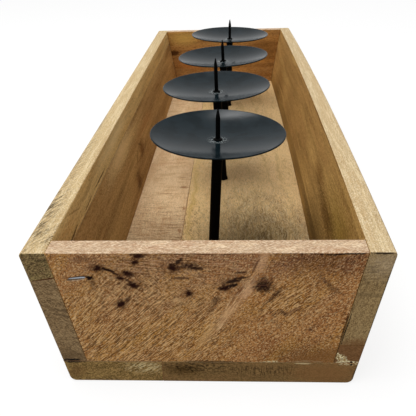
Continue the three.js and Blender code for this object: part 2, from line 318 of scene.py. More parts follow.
class Graph:
    """The node graph of a material or a world, with a short call for each kind of node."""

    def __init__(self, owner: bpy.types.Material | bpy.types.World) -> None:
        """Empty the owner's node graph.

        Args:
            owner: The material or world.
        """
        owner.use_nodes = True
        self.owner = owner
        self.tree = owner.node_tree
        self.tree.nodes.clear()

    @classmethod
    def of_material(cls, name: str) -> "Graph":
        """Graph of a new material."""
        return cls(bpy.data.materials.new(name))

    def add(
        self,
        kind: str,
        inputs: Mapping[str | int, object] | None = None,
        **settings: object,
    ) -> bpy.types.Node:
        """Add a node.

        Args:
            kind: Blender's name of the node.
            inputs: Sockets or values for its inputs, by name or number.
            settings: Its other settings.

        Returns:
            The node.
        """
        node = self.tree.nodes.new(kind)
        for key, value in settings.items():
            setattr(node, key, value)
        for key, value in (inputs or {}).items():
            if isinstance(value, Socket):
                self.tree.links.new(value, node.inputs[key])
            else:
                node.inputs[key].default_value = value
        return node

    @cached_property
    def object_place(self) -> Socket:
        """Place in the piece's own coordinates, which are the tray's."""
        return self.add("ShaderNodeTexCoord").outputs["Object"]

    def math(self, operation: str, first: Value, second: Value = 0.0) -> Socket:
        """Result of one sum."""
        return self.add("ShaderNodeMath", {0: first, 1: second}, operation=operation).outputs[0]

    def vector(self, operation: str, first: object, second: object = (0, 0, 0)) -> bpy.types.Node:
        """Node of one sum on vectors."""
        return self.add("ShaderNodeVectorMath", {0: first, 1: second}, operation=operation)

    def ease(self, value: Value, start: float, full: float, top: float = 1.0) -> Socket:
        """Smooth rise from 0 to a top.

        Args:
            value: What it follows.
            start: Level of the value at which it starts.
            full: Level of the value at which it is full.
            top: What it rises to.

        Returns:
            The rise.
        """
        inputs = {"Value": value, "From Min": start, "From Max": full, "To Max": top}
        settings = {"interpolation_type": "SMOOTHSTEP", "clamp": False}
        return self.add("ShaderNodeMapRange", inputs, **settings).outputs[0]

    def local(self, place: Socket, origin: Vector, turn_by: Euler, size: Vector) -> Socket:
        """Coordinates in a form's own frame, in its own sizes."""
        inputs = {"Vector": place, "Location": origin, "Rotation": turn_by, "Scale": size}
        return self.add("ShaderNodeMapping", inputs, vector_type="TEXTURE").outputs[0]

    def noise(self, place: Socket, detail: float, roughness: float = 0.5) -> bpy.types.Node:
        """Noise whose cells are one unit wide."""
        inputs = {"Vector": place, "Scale": 1.0, "Detail": detail, "Roughness": roughness}
        return self.add("ShaderNodeTexNoise", inputs)

    def blend(self, share: Value, first: object, second: object, kind: str = "MIX") -> Socket:
        """Mix of two colours."""
        inputs = {COLOUR_SHARE: share, COLOUR_FIRST: first, COLOUR_SECOND: second}
        return self.add("ShaderNodeMix", inputs, data_type="RGBA", blend_type=kind).outputs[2]

    def seen(self) -> Socket:
        """Tell the rays of the camera, of reflections and of clear bodies from the rest.

        Returns:
            1 for them, and 0 for the others.
        """
        rays = self.add("ShaderNodeLightPath").outputs
        near = self.math("MAXIMUM", rays["Is Camera Ray"], rays["Is Glossy Ray"])
        return self.math("MAXIMUM", near, rays["Is Transmission Ray"])

    def finish(
        self,
        colour: object,
        roughness: Value,
        height: Socket | None,
        settings: Mapping[str, float],
    ) -> bpy.types.Material:
        """Close the graph with its shader.

        Args:
            colour: Colour or its socket.
            roughness: Roughness or its socket.
            height: Height of the surface in metres, or None.
            settings: The shader's other values.

        Returns:
            The finished material.
        """
        inputs = {"Base Color": colour, "Roughness": roughness, **settings}
        if height is not None:
            bump = self.add("ShaderNodeBump", {"Height": height, "Distance": 1.0, "Strength": 1.0})
            inputs["Normal"] = bump.outputs[0]
        shader = self.add("ShaderNodeBsdfPrincipled", inputs)
        self.add("ShaderNodeOutputMaterial", {"Surface": shader.outputs[0]})
        return self.owner


# Finishes

@dataclass(frozen=True)
class Mark:
    """A knot, stained patch or streak at one place of a face; some marks are painted light and
    shade instead.

    Attributes:
        tone: Its colour.
        at: Its middle in the face's plane, in mm.
        size: Half of its length and width, in mm.
        slope: Degrees by which it rises.
        share: Greatest share of its tone.
        edge: Part of its half width over which it fades.
        sunk: Depth of its hollow in mm.
        tint: Whether it tints the figure under it instead of covering it.
    """

    tone: str
    at: Point
    size: Point
    slope: float = 0.0
    share: float = 0.85
    edge: float = 0.6
    sunk: float = 0.0
    tint: bool = False


class Figure(Enum):
    """How a layer of figure is drawn."""

    FLECKS = "flecks"
    RINGS = "rings"


@dataclass(frozen=True)
class Layer:
    """A figure all over a face that pulls the wood towards a tone.

    Attributes:
        tone: Colour that it pulls towards.
        size: Its length along the slope, its width and its reach into the wood, in mm.
        span: Levels of the noise between which it comes in.
        share: Greatest share of its tone.
        slope: Degrees by which it rises on the face.
        detail: Octaves of its noise.
        relief: Height that it adds, in mm, or sinks where it is below 0.
        within: A region that bounds it, or None.
        figure: How it is drawn.
        pith: For rings, their middle in the plane, in mm.
    """

    tone: str
    size: tuple[float, float, float]
    span: Point = (0.5, 0.62)
    share: float = 0.5
    slope: float = 0.0
    detail: float = 2.0
    relief: float = 0.0
    within: Mark | None = None
    figure: Figure = Figure.FLECKS
    pith: Point = (0.0, 0.0)


# Some of these soft marks are painted shade, where a wall or floor is darker towards the floor or
# the front panel; the others are darker parts of the wood.
def shade(tone: str, at: Point, size: Point, slope: float = 0.0) -> Mark:
    """A soft part of a face that darkens or tints whatever lies under it."""
    return Mark(tone, at, size, slope, share=1.0, edge=1.0, tint=True)


def region(at: Point, size: Point, slope: float = 0.0, edge: float = 0.9) -> Mark:
    """A part of a face that bounds a layer, without a tone of its own."""
    return Mark("#000000", at, size, slope, share=1.0, edge=edge)


TREE_STEP = Vector((1.3, 2.1, 0.7))  # How far apart in the tree two faces were sawn, in m
LAYER_STEP = 0.37  # Part of that step between the layers of one face
FIBRE_PLACE = Vector((0.3, 0.2, 0.1))  # Where in the tree the fraying fibres are, in m


@dataclass(frozen=True)
class Wood:
    """Finish of one face of a board: a ground, its layers of figure and its marks.

    Attributes:
        name: Name of the material.
        ground: Colour under everything.
        plane: Plane of the face.
        stains_and_painted_light: Broad tones at one place, under the figure; on some faces they are
            painted light and shade.
        layers: Figures all over it.
        marks: Figures at one place, over the rest.
        slope: Degrees by which its grain rises, added to each layer's own.
        sway: How far the grain wanders, and over what length, in mm.
        ragged: How far the edges of marks are frayed, as a part of their size.
        torn: Length, width and depth of the fibres that fray, in mm.
        roughness: Mean roughness.
        sheen: How much the roughness follows the fibres.
        gloss: Strength of its reflection.
        seed: Where in the tree the face was sawn.
    """

    name: str
    ground: str
    plane: Plane
    stains_and_painted_light: tuple[Mark, ...] = ()
    layers: tuple[Layer, ...] = ()
    marks: tuple[Mark, ...] = ()
    slope: float = 0.0
    sway: Point = (2.0, 40.0)
    ragged: float = 0.55
    torn: Place = (1.8, 1.1, 1.1)
    roughness: float = 0.62
    sheen: float = 0.16
    gloss: float = 0.04
    seed: int = 0

    def mask(self, graph: Graph, place: Socket, fray: Socket, mark: Mark) -> Socket:
        """Share of a mark at each place.

        Args:
            graph: The finish's node graph.
            place: The place, with the wander of the grain.
            fray: How far an edge is frayed there.
            mark: The mark.

        Returns:
            The share, from 0 to the mark's own.
        """
        # The gradient falls from 1 to 0 over twice the mark's size, so its rim is half-way.
        rim = 0.5
        size = Vector((mark.size[0] / rim, mark.size[1] / rim, THROUGH)) * MM
        spot = graph.local(place, self.plane.place(mark.at), self.plane.turn(mark.slope), size)
        ball = graph.add("ShaderNodeTexGradient", {"Vector": spot}, gradient_type="SPHERICAL")
        frayed = graph.math("SUBTRACT", ball.outputs["Fac"], fray)
        return graph.ease(frayed, rim, rim + (1 - rim) * mark.edge, mark.share)

    def rings(self, graph: Graph, place: Socket, layer: Layer) -> Socket:
        """Level of the growth rings at each place.

        Args:
            graph: The finish's node graph.
            place: The place, with the wander of the grain.
            layer: The layer of rings.

        Returns:
            The level, from 0 to 1 and back once in each ring.
        """
        turn_by = self.plane.turn(self.slope + layer.slope)
        size = Vector((*layer.size[:2], THROUGH)) * MM
        spot = graph.local(place, self.plane.place(layer.pith), turn_by, size)
        radius = graph.vector("LENGTH", spot).outputs["Value"]
        wave = graph.math("SINE", graph.math("MULTIPLY", radius, math.tau))
        return graph.math("MULTIPLY", graph.math("ADD", wave, 1.0), 0.5)

    def share(
        self,
        graph: Graph,
        place: Socket,
        fray: Socket,
        layer: Layer,
        number: int,
    ) -> Socket:
        """Share of a layer at each place.

        Args:
            graph: The finish's node graph.
            place: The place, with the wander of the grain.
            fray: How far an edge is frayed there.
            layer: The layer.
            number: Its number among the layers, which takes it elsewhere in the tree.

        Returns:
            The share, from 0 to the layer's own.
        """
        if layer.figure is Figure.RINGS:
            level = self.rings(graph, place, layer)
        else:
            origin = TREE_STEP * (self.seed + LAYER_STEP * number)
            turn_by = self.plane.turn(self.slope + layer.slope)
            spot = graph.local(place, origin, turn_by, Vector(layer.size) * MM)
            level = graph.noise(spot, layer.detail, 0.6).outputs[0]
        share = graph.ease(level, *layer.span, layer.share)
        if layer.within:
            share = graph.math("MULTIPLY", share, self.mask(graph, place, fray, layer.within))
        return share

    def wander(self, graph: Graph) -> Socket:
        """Place moved about as the grain wanders.

        Args:
            graph: The finish's node graph.

        Returns:
            The moved place.
        """
        reach, length = self.sway
        cell = Vector((length, length, length)) * MM
        drift = graph.noise(graph.local(graph.object_place, Vector(), Euler(), cell), 2.0)
        offset = graph.vector("SUBTRACT", drift.outputs["Color"], (0.5, 0.5, 0.5)).outputs[0]
        moved = graph.vector("MULTIPLY", offset, (reach * MM,) * 3).outputs[0]
        return graph.vector("ADD", graph.object_place, moved).outputs[0]

    def frays(self, graph: Graph, place: Socket) -> Socket:
        """How far the fibres fray an edge.

        Args:
            graph: The finish's node graph.
            place: The place, with the wander of the grain.

        Returns:
            The fray, on both sides of 0.
        """
        turn_by = self.plane.turn(self.slope)
        fibres = graph.local(place, FIBRE_PLACE, turn_by, Vector(self.torn) * MM)
        level = graph.math("SUBTRACT", graph.noise(fibres, 2.0).outputs[0], 0.5)
        return graph.math("MULTIPLY", level, self.ragged)

    def material(self) -> bpy.types.Material:
        """Build the finish.

        Returns:
            The material.
        """
        graph = Graph.of_material(self.name)
        place = self.wander(graph)
        fray = self.frays(graph, place)
        colour: object = paint(self.ground)
        height: Value = 0.0
        for stain_or_painted_light in self.stains_and_painted_light:
            colour = graph.blend(self.mask(graph, place, fray, stain_or_painted_light), colour, paint(stain_or_painted_light.tone))
        for number, layer in enumerate(self.layers, 1):
            share = self.share(graph, place, fray, layer, number)
            colour = graph.blend(share, colour, paint(layer.tone))
            if layer.relief:
                rise = graph.math("MULTIPLY", share, layer.relief * MM / layer.share)
                height = graph.math("ADD", rise, height)
        for mark in self.marks:
            share = self.mask(graph, place, fray, mark)
            kind = "MULTIPLY" if mark.tint else "MIX"
            colour = graph.blend(share, colour, paint(mark.tone), kind)
            if mark.sunk:
                fall = graph.math("MULTIPLY", share, mark.sunk * MM / mark.share)
                height = graph.math("SUBTRACT", height, fall)
        roughness = graph.math("ADD", graph.math("MULTIPLY", fray, -self.sheen), self.roughness)
        surface = height if isinstance(height, Socket) else None
        return graph.finish(colour, roughness, surface, {"Specular IOR Level": self.gloss})


@dataclass(frozen=True)
class Paint:
    """Satin paint on metal.

    Attributes:
        name: Name of the material.
        tone: Its colour.
        worn: Its colour where it is thin.
        roughness: Mean roughness.
        gloss: Strength of its reflection.
        peel: Height of its orange peel in mm.
        bare: Colour of the spatter round a weld.
        spatter: How far from the weld the spatter reaches.
        peel_size: Width of the orange peel's dimples in mm.
        cloud_size: Width of the clouds of thin paint in mm.
        fleck_size: Width of the flecks of spatter in mm.
        unevenness: How much the roughness follows the clouds.
    """

    name: str
    tone: str
    worn: str
    roughness: float
    gloss: float
    peel: float
    bare: str = "#8c9291"
    spatter: float = 9 * MM
    peel_size: float = 1.1
    cloud_size: float = 14.0
    fleck_size: float = 0.9
    unevenness: float = 0.16

    def material(self, welds: Sequence[Vector] = ()) -> bpy.types.Material:
        """Build the finish, with flecks of bare spatter round each weld.

        Args:
            welds: Places of the welds.

        Returns:
            The material.
        """
        graph = Graph.of_material(self.name)
        peel = self.cells(graph, self.peel_size)
        cloud = self.cells(graph, self.cloud_size)
        least = self.roughness - self.unevenness / 2
        dulled = graph.math("ADD", graph.math("MULTIPLY", cloud, self.unevenness), least)
        thin = graph.ease(cloud, 0.42, 0.6, 0.7)
        colour = graph.blend(thin, paint(self.tone), paint(self.worn))
        flecks = graph.ease(self.cells(graph, self.fleck_size), 0.52, 0.6)
        for weld in welds:
            away = graph.vector("DISTANCE", graph.object_place, weld).outputs["Value"]
            near = graph.ease(away, self.spatter, 0.4 * self.spatter)
            colour = graph.blend(graph.math("MULTIPLY", near, flecks), colour, paint(self.bare))
        height = graph.math("MULTIPLY", peel, self.peel * MM)
        return graph.finish(colour, dulled, height, {"Specular IOR Level": self.gloss})

    def cells(self, graph: Graph, size: float) -> Socket:
        """Noise with cells of a size in mm."""
        cell = Vector((size, size, size)) * MM
        return graph.noise(graph.local(graph.object_place, Vector(), Euler(), cell), 2.0).outputs[0]


@dataclass(frozen=True)
class Steel:
    """Bare metal with drawn lines.

    Attributes:
        name: Name of the material.
        tone: Its colour.
        dull: Its colour where it has tarnished.
        roughness: Mean roughness.
        grit: Width and height of its grit in mm.
        unevenness: How much the roughness follows the grit.
    """

    name: str
    tone: str
    dull: str
    roughness: float
    grit: Point = (0.4, 0.01)
    unevenness: float = 0.3

    def material(self) -> bpy.types.Material:
        """Build the finish.

        Returns:
            The material.
        """
        graph = Graph.of_material(self.name)
        width, height = self.grit
        cell = Vector((width, width, width)) * MM
        grit = graph.noise(graph.local(graph.object_place, Vector(), Euler(), cell), 3.0).outputs[0]
        least = self.roughness - self.unevenness / 2
        dulled = graph.math("ADD", graph.math("MULTIPLY", grit, self.unevenness), least)
        tarnish = graph.ease(grit, 0.45, 0.75, 0.4)
        colour = graph.blend(tarnish, paint(self.tone), paint(self.dull))
        surface = graph.math("MULTIPLY", grit, height * MM)
        return graph.finish(colour, dulled, surface, {"Metallic": 1.0})


def faces(**woods: Wood) -> dict[Side, Wood]:
    """Finishes of a board's sides, by the sides' names."""
    return {Side[name.upper()]: wood for name, wood in woods.items()}


# Figures that several faces share

def strokes(
    dark: str,
    light: str,
    length: float,
    width: float,
    share: float,
    slope: float = 0.0,
    within: Mark | None = None,
) -> tuple[Layer, ...]:
    """Light and dark strokes of one size.

    Args:
        dark: Tone of the dark strokes, which are sunk a little.
        light: Tone of the light strokes.
        length: Length of a stroke in mm.
        width: Width of a stroke in mm.
        share: Greatest share of their tones.
        slope: Degrees by which they rise over the grain.
        within: A region that bounds them, or None.

    Returns:
        The two layers.
    """
    size = (length, width, 2 * width)
    return (
        Layer(light, size, (0.5, 0.62), share, slope, within=within),
        Layer(dark, size, (0.5, 0.62), share, slope, relief=-0.04, within=within),
    )


def torn(
    tone: str,
    size: Point,
    span: Point,
    within: Mark,
    slope: float = 0.0,
    share: float = 0.95,
) -> Layer:
    """Layer of pale torn fibres or filler along a seam, of a length and width in mm."""
    return Layer(tone, (*size, 20), span, share, slope, within=within)


def knot(at: Point, size: Point, slope: float = 0.0, halo: float = 1.8) -> tuple[Mark, Mark]:
    """A dark knot with a soft brown halo.

    Args:
        at: Its middle in the face's plane, in mm.
        size: Half of its length and width, in mm.
        slope: Degrees by which it rises.
        halo: Size of the halo as a part of the knot's.

    Returns:
        The halo and the knot.
    """
    wide = (size[0] * halo, size[1] * halo)
    return (
        Mark("#54301d", at, wide, slope, share=0.7, edge=1.0),
        Mark("#240c05", at, size, slope, share=1.0, edge=0.8, sunk=0.2),
    )


def long_grain(dark: str, light: str, strength: float = 1.0) -> tuple[Layer, ...]:
    """Figure of a face that is sawn along the grain.

    Args:
        dark: Tone of its dark streaks and pores.
        light: Tone of its light streaks.
        strength: How strong the figure is.

    Returns:
        The layers, from broad to fine.
    """
    return (
        Layer(light, (190, 17, 16), (0.42, 0.62), 0.8 * strength, detail=1.0),
        Layer(dark, (150, 8, 9), (0.46, 0.66), 0.6 * strength),
        Layer(dark, (60, 2.4, 3), (0.48, 0.66), 0.35 * strength, detail=3.0),
        *strokes(dark, light, 9, 0.7, 0.4 * strength),
        *strokes(dark, light, 2.2, 0.9, 0.5 * strength),
    )


def end_grain(dark: str, light: str, strength: float = 1.0) -> tuple[Layer, ...]:
    """Figure of a face that is sawn across the grain.

    Args:
        dark: Tone of its pores and late wood.
        light: Tone of its early wood.
        strength: How strong the figure is.

    Returns:
        The layers, from broad to fine.
    """
    return (
        Layer(light, (22, 9, 200), (0.45, 0.65), 0.45 * strength),
        Layer(dark, (16, 1.6, 200), (0.5, 0.7), 0.3 * strength, detail=3.0),
        *strokes(dark, light, 3.0, 0.5, 0.45 * strength, slope=34),
        *strokes(dark, light, 3.0, 0.5, 0.45 * strength, slope=-38),
        *strokes(dark, light, 1.0, 0.8, 0.35 * strength),
    )


FRONT_FACE = Wood(
    "front_figure",
    "#b67f4a",
    Plane.ACROSS,
    slope=44,
    sway=(5, 34),
    stains_and_painted_light=(
        Mark("#9c6b4c", (-10, 96), (104, 26), share=0.85, edge=1.0),
        Mark("#7c5340", (56, 92), (44, 22), share=0.75, edge=1.0),
        Mark("#c48f45", (-34, 32), (80, 26), slope=12, share=0.5, edge=1.0),
        Mark("#94643a", (52, 26), (34, 16), slope=8, share=0.6, edge=1.0),
        Mark("#8a5e3f", (-47, 76), (32, 22), share=0.5, edge=1.0),
        Mark("#dcae82", (28.2, 88), (11, 4.4), slope=72, share=0.9, edge=0.9),
        Mark("#dcae82", (21.4, 71), (12, 4.4), slope=62, share=0.9, edge=0.9),
        Mark("#d8aa78", (9.4, 54), (14, 4.4), slope=54, share=0.85, edge=0.9),
        Mark("#d0a068", (-2.5, 38), (13, 4.4), slope=52, share=0.7, edge=1.0),
        Mark("#a25a2c", (28.4, 65.0), (13, 8), slope=-8, share=0.75, edge=0.9),
        Mark("#5e3d2a", (13, 75.6), (13, 9), slope=34, share=0.6, edge=1.0),
    ),
    layers=(
        Layer("#c48f42", (40, 18, 30), (0.42, 0.62), 0.4, detail=1.0),
        Layer("#8a5430", (26, 6, 30), (0.48, 0.64), 0.5),
        *strokes("#4f2f1a", "#e8c08c", 1.3, 0.75, 0.74),
        *strokes("#4f2e16", "#efc48a", 7, 0.65, 0.74, within=region((-38, 42), (64, 48), edge=0.4)),
        *strokes("#5a3820", "#e6bc88", 2.6, 0.75, 0.55, -84, region((-30, 74), (70, 34))),
        *strokes("#4f2e16", "#e8bc84", 5, 0.8, 0.85, within=region((44, 62), (32, 26), 30)),
        *strokes("#8c5c38", "#f4cc9c", 7, 0.8, 0.8, 14, region((13, 60), (42, 4.6), slope=60)),
        *strokes("#4f3020", "#d0a680", 9, 0.7, 0.6, -48, region((-20, 88), (90, 18))),
        Layer("#3e2618", (3.2, 1.5, 4), (0.54, 0.62), 0.5, within=region((-42, 78), (34, 18))),
        torn("#ead9ac", (1.6, 0.7), (0.47, 0.53), region((33, 16.9), (9, 1.1), edge=0.3), -44),
        torn(
            "#ead9ac", (5.0, 0.7), (0.42, 0.5), region((54.5, 16.8), (11, 0.9), edge=0.3),
            slope=-44, share=0.9,
        ),
    ),
    marks=(
        shade("#ccc4c6", (60, 90), (44, 18)),
        shade("#dcdcd8", (52, 22), (44, 14), slope=6),
        Mark("#dcaa80", (28.2, 88), (11, 3.4), slope=74, share=0.4, edge=0.9),
        Mark("#e6b688", (22.0, 71), (13, 3.6), slope=62, share=0.5, edge=0.8),
        Mark("#e6b480", (10.4, 54), (14, 3.6), slope=54, share=0.5, edge=0.8),
        Mark("#dcac70", (-2.0, 38), (13, 3.8), slope=52, share=0.45, edge=0.9),
        Mark("#8a5a34", (17, 47), (16, 4.4), slope=50, share=0.35, edge=1.0),
        Mark("#3a2418", (11, 74.5), (10, 4.4), slope=14, share=0.55, edge=1.0),
        Mark("#725038", (-67, 90), (10, 2.6), slope=3, share=0.5),
        Mark("#55321f", (24.8, 84), (9, 0.7), slope=70, share=0.7),
        Mark("#55321f", (16.2, 68), (12, 0.7), slope=58, share=0.5),
        *knot((-59.4, 84.2), (4.2, 3.2)),
        Mark("#24130b", (-54.6, 83.4), (5.6, 1.3), slope=-18, share=1.0),
        Mark("#2c1a12", (-50.6, 81.0), (4.4, 1.2), slope=-38, share=0.9),
        *knot((-44.0, 80.4), (4.4, 2.5), slope=-14),
        *knot((-47.6, 77.2), (3.6, 1.9), slope=-10, halo=1.5),
        Mark("#2c1a12", (-43.4, 75.0), (4.4, 1.2), slope=-44, share=0.75),
        *knot((-41.3, 72.0), (4.4, 3.2), slope=-16),
        *knot((-49.8, 59.6), (4.2, 3.2), slope=25),
        Mark("#3e271b", (-45.2, 63.2), (3.8, 1.6), slope=50, share=0.7),
        *knot((-36.6, 92.2), (4.6, 2.4), halo=1.5),
        *knot((-38.4, 88.2), (3.2, 2.4), slope=40, halo=1.5),
        *knot((-19.2, 85.0), (3.6, 3.9), slope=20),
        Mark("#24150e", (-15.8, 88.8), (4.0, 1.4), slope=44, share=0.9),
        Mark("#30190f", (-10.6, 85.8), (10.5, 4.2), share=0.95, edge=1.0),
        Mark("#240f08", (-7.2, 84.2), (6.6, 1.7), slope=-4, share=0.9, edge=0.8),
        Mark("#4c3022", (-15.5, 78.2), (7.5, 1.2), share=0.75),
        *knot((-11.8, 67.0), (2.9, 3.2), halo=1.9),
        *knot((8.8, 71.0), (5.2, 2.7), slope=6, halo=1.5),
        Mark("#1e0f0a", (13.6, 73.0), (4.4, 1.4), slope=12, share=0.95),
        Mark("#24130d", (13.6, 75.6), (5.8, 1.4), slope=12, share=0.95),
        Mark("#2a1710", (17.0, 77.6), (6.4, 1.2), slope=12, share=0.9),
        Mark("#38231a", (18.4, 81.4), (5.0, 1.0), slope=6, share=0.8),
        Mark("#3a2016", (3.4, 62.6), (6.4, 3.4), slope=50, share=0.75, edge=0.9),
        Mark("#462a1b", (0.4, 56.2), (6.0, 3.0), slope=46, share=0.55, edge=1.0),
        Mark("#3a2018", (30, 73.6), (9.0, 8.0), share=0.8, edge=1.0),
        Mark("#1f0c07", (29.0, 73.0), (7.0, 6.4), share=1.0, edge=1.0),
        Mark("#6a4634", (29, 76.4), (6.4, 0.6), slope=2, share=0.6),
        Mark("#6a4634", (29, 73.4), (6.0, 0.5), slope=2, share=0.5),
        Mark("#34190f", (37.0, 68.2), (6.8, 2.0), slope=48, share=0.85, edge=1.0),
        Mark("#34190f", (33.6, 63.8), (5.4, 1.9), slope=48, share=0.8, edge=1.0),
        Mark("#4a2d1b", (41.0, 54.2), (5.0, 1.8), slope=-42, share=0.8, edge=1.0),
        Mark("#6d4630", (46.5, 55.5), (6.0, 1.4), slope=30, share=0.5),
        Mark("#4a3022", (56.6, 42.3), (3.6, 1.8), slope=-40, share=0.6, edge=1.0),
        Mark("#54362a", (61.6, 76.2), (6.4, 2.2), slope=-40, share=0.65, edge=1.0),
        Mark("#50331f", (66.8, 70.8), (9.5, 3.4), slope=-38, share=0.6, edge=0.9),
        Mark("#845a31", (64, 19.5), (30, 8.0), slope=14, share=0.72, edge=0.6),
        Mark("#1c110a", (75.0, 42), (22, 0.5), slope=81, share=0.8),
        Mark("#472a1a", (-63.4, 73.6), (3.6, 7.0), slope=10, share=0.6, edge=1.0),
        Mark("#1a0a05", (-64.4, 77.8), (3.0, 2.3), slope=-14, share=1.0),
        Mark("#1c120d", (-71.4, 78.4), (8.5, 0.9), slope=9, share=0.85),
        Mark("#20140b", (2, 17.0), (26, 0.9), share=0.7),
        # Painted shade: dark lines along the top arris.
        Mark("#1a0f0a", (72, 93.4), (20, 0.7), share=0.95),
        Mark("#3a2418", (0, 93.6), (84, 0.5), share=0.55),
    ),
    seed=1,
)

PANEL_FACE = replace(
    FRONT_FACE,
    name="panel_figure",
    slope=6,
    stains_and_painted_light=(),
    layers=(
        *FRONT_FACE.layers[:2],
        *strokes("#5c371c", "#deb07a", 7, 0.7, 0.5),
        *FRONT_FACE.layers[2:4],
    ),
    marks=(),
    seed=2,
)

BACK_INSIDE = Wood(
    "back_inside",
    "#a07a4b",
    Plane.ACROSS,
    slope=4,
    layers=long_grain("#6b4220", "#d69c54"),
    marks=(
        Mark("#dab35e", (-62, 84), (34, 15), share=0.6, edge=0.9),
        Mark("#43260f", (-78, 62.6), (12, 6.0), share=0.85),
        Mark("#c57736", (-50, 46), (34, 13), share=0.6, edge=0.9),
        Mark("#64421f", (62, 62), (40, 28), share=0.6, edge=0.9),
    ),
    seed=3,
)

PANEL_EDGE = Wood(
    "panel_edge",
    "#bc9c7c",
    Plane.LEVEL,
    sway=(3, 12),
    layers=(
        Layer("#b8906e", (20, 7, 10), (0.45, 0.65), 0.6),
        Layer("#e6cba6", (16, 5, 10), (0.48, 0.65), 0.6),
        *strokes("#83634a", "#f2dfc0", 2.6, 0.6, 0.5, slope=30),
        *strokes("#8c6a4e", "#f2dfc0", 2.2, 0.6, 0.4, slope=-32),
    ),
    seed=4,
)

SIDE_EDGE = Wood(
    "side_edge",
    "#c5ad84",
    Plane.LEVEL,
    slope=90,
    layers=(
        Layer("#bfa173", (110, 7, 8), (0.45, 0.62), 0.55, detail=1.0),
        Layer("#e6d2a9", (40, 2.2, 3), (0.48, 0.62), 0.5),
        Layer("#a3855a", (12, 0.8, 1), (0.52, 0.64), 0.4),
        *strokes("#86704c", "#f2e4c6", 1.6, 0.7, 0.4),
    ),
    seed=5,
)

LEFT_EDGE = replace(
    SIDE_EDGE,
    name="left_edge",
    ground="#cab082",
    layers=SIDE_EDGE.layers
    + (
        Layer(
            "#2f2616", (13, 0.8, 2), (0.5, 0.57), 0.9, -27, 3.0, -0.06,
            within=region((-98, -262), (10, 62)),
        ),
        Layer(
            "#2f2616", (8, 0.7, 2), (0.51, 0.58), 0.7, -34, 3.0, -0.06,
            within=region((-91, -288), (12, 18)),
        ),
        Layer(
            "#6e6144", (14, 0.9, 2), (0.51, 0.6), 0.6, -27, 3.0,
            within=region((-98, -180), (7, 110)),
        ),
    ),
    marks=(
        # Painted shade: grey along the rounded outer arris, with a narrow grey line on it.
        Mark("#7d705a", (-101.5, -188), (4.0, 36), share=0.6, edge=0.9),
        Mark("#8c8069", (-101, -110), (3.4, 34), share=0.5),
        Mark("#5c564c", (-101.4, -160), (1.2, 150), share=0.45),
    ),
    seed=6,
)

LEFT_STRIP_END = Wood(
    "left_strip_end",
    "#836948",
    Plane.ACROSS,
    slope=8,
    layers=end_grain("#2c2114", "#b39b66", 1.6),
    marks=(
        Mark("#241b10", (-89, 89), (9, 1.6), slope=4, share=0.5, edge=0.9),
        Mark("#4a2414", (-89, 76.6), (13, 1.1), slope=9, share=0.85),
    ),
    seed=7,
)

LEFT_BOARD_END = Wood(
    "left_board_end",
    "#8a6f4d",
    Plane.ACROSS,
    slope=-6,
    layers=end_grain("#4a3826", "#ba9c72", 1.3),
    marks=(
        Mark("#5a452e", (-84, 21), (16, 8), share=0.55, edge=0.9),
        Mark("#574430", (-84, 55), (11, 1.2), slope=-16, share=0.6),
        Mark("#574430", (-83, 51), (10, 1.0), slope=-18, share=0.5),
        Mark("#15100b", (-85, 17.0), (9, 1.7), share=1.0),
    ),
    seed=8,
)

RIGHT_BOARD_END = Wood(
    "right_board_end",
    "#a08358",
    Plane.ACROSS,
    slope=72,
    stains_and_painted_light=(Mark("#c2aa88", (94, 86), (15, 20), slope=80, share=0.9, edge=1.0),),
    layers=end_grain("#574329", "#c0a373", 1.1)
    + (Layer("#5c4a30", (9, 0.7, 20), (0.48, 0.58), 0.7, -70, within=region((88, 80), (14, 12))),),
    marks=(
        Mark("#6e5a3c", (86, 66), (11, 2.0), slope=-4, share=0.4),
        Mark("#c2aa88", (94, 86), (15, 20), slope=80, share=0.25, edge=1.0),
        # Painted shade: a dark line along the top arris.
        Mark("#1e150c", (91, 93.3), (9.5, 0.7), share=0.9),
        Mark("#7c5735", (82.5, 30.5), (14, 8), slope=8, share=0.85, edge=0.9),
        Mark("#1c110a", (76.3, 44), (20, 0.5), slope=81, share=0.85),
        # Painted shade: a dark line along the rounded outer arris.
        Mark("#3c2f20", (92.8, 60), (42, 1.1), slope=81, share=0.7),
    ),
    seed=9,
)

FILLER = region((75.0, 20.6), (6.4, 3.2), -44, edge=0.4)
RIGHT_STRIP_END = Wood(
    "right_strip_end",
    "#7c5735",
    Plane.ACROSS,
    layers=end_grain("#5f4025", "#96704a", 0.9)
    + (
        Layer("#b0925f", (2.4, 1.6, 20), (0.36, 0.5), 0.85, within=FILLER),
        Layer("#f4e6ba", (1.2, 0.8, 20), (0.5, 0.55), 1.0, within=FILLER),
        Layer("#22170d", (1.2, 0.8, 20), (0.57, 0.62), 0.9, 60, within=FILLER),
        torn("#f4e6ba", (2.0, 0.8), (0.47, 0.52), region((79, 17.3), (7, 1.2), edge=0.3)),
    ),
    marks=(Mark("#160e08", (81.3, 17.2), (0.9, 0.9), share=1.0, edge=0.4),),
    seed=10,
)

NARROW_BASE_END = Wood(
    "narrow_base_end",
    "#866a40",
    Plane.ACROSS,
    slope=12,
    layers=end_grain("#463619", "#c09c60", 1.5)
    + (torn("#e0ca98", (6, 0.9), (0.46, 0.56), region((-41, 12), (16, 7)), 22, 0.85),),
    marks=(
        Mark("#6a4a2a", (-82, 8), (9, 7), share=0.5, edge=0.9),
        Mark("#15100b", (-83, 15.9), (9, 1.3), share=1.0),
    ),
    seed=11,
)

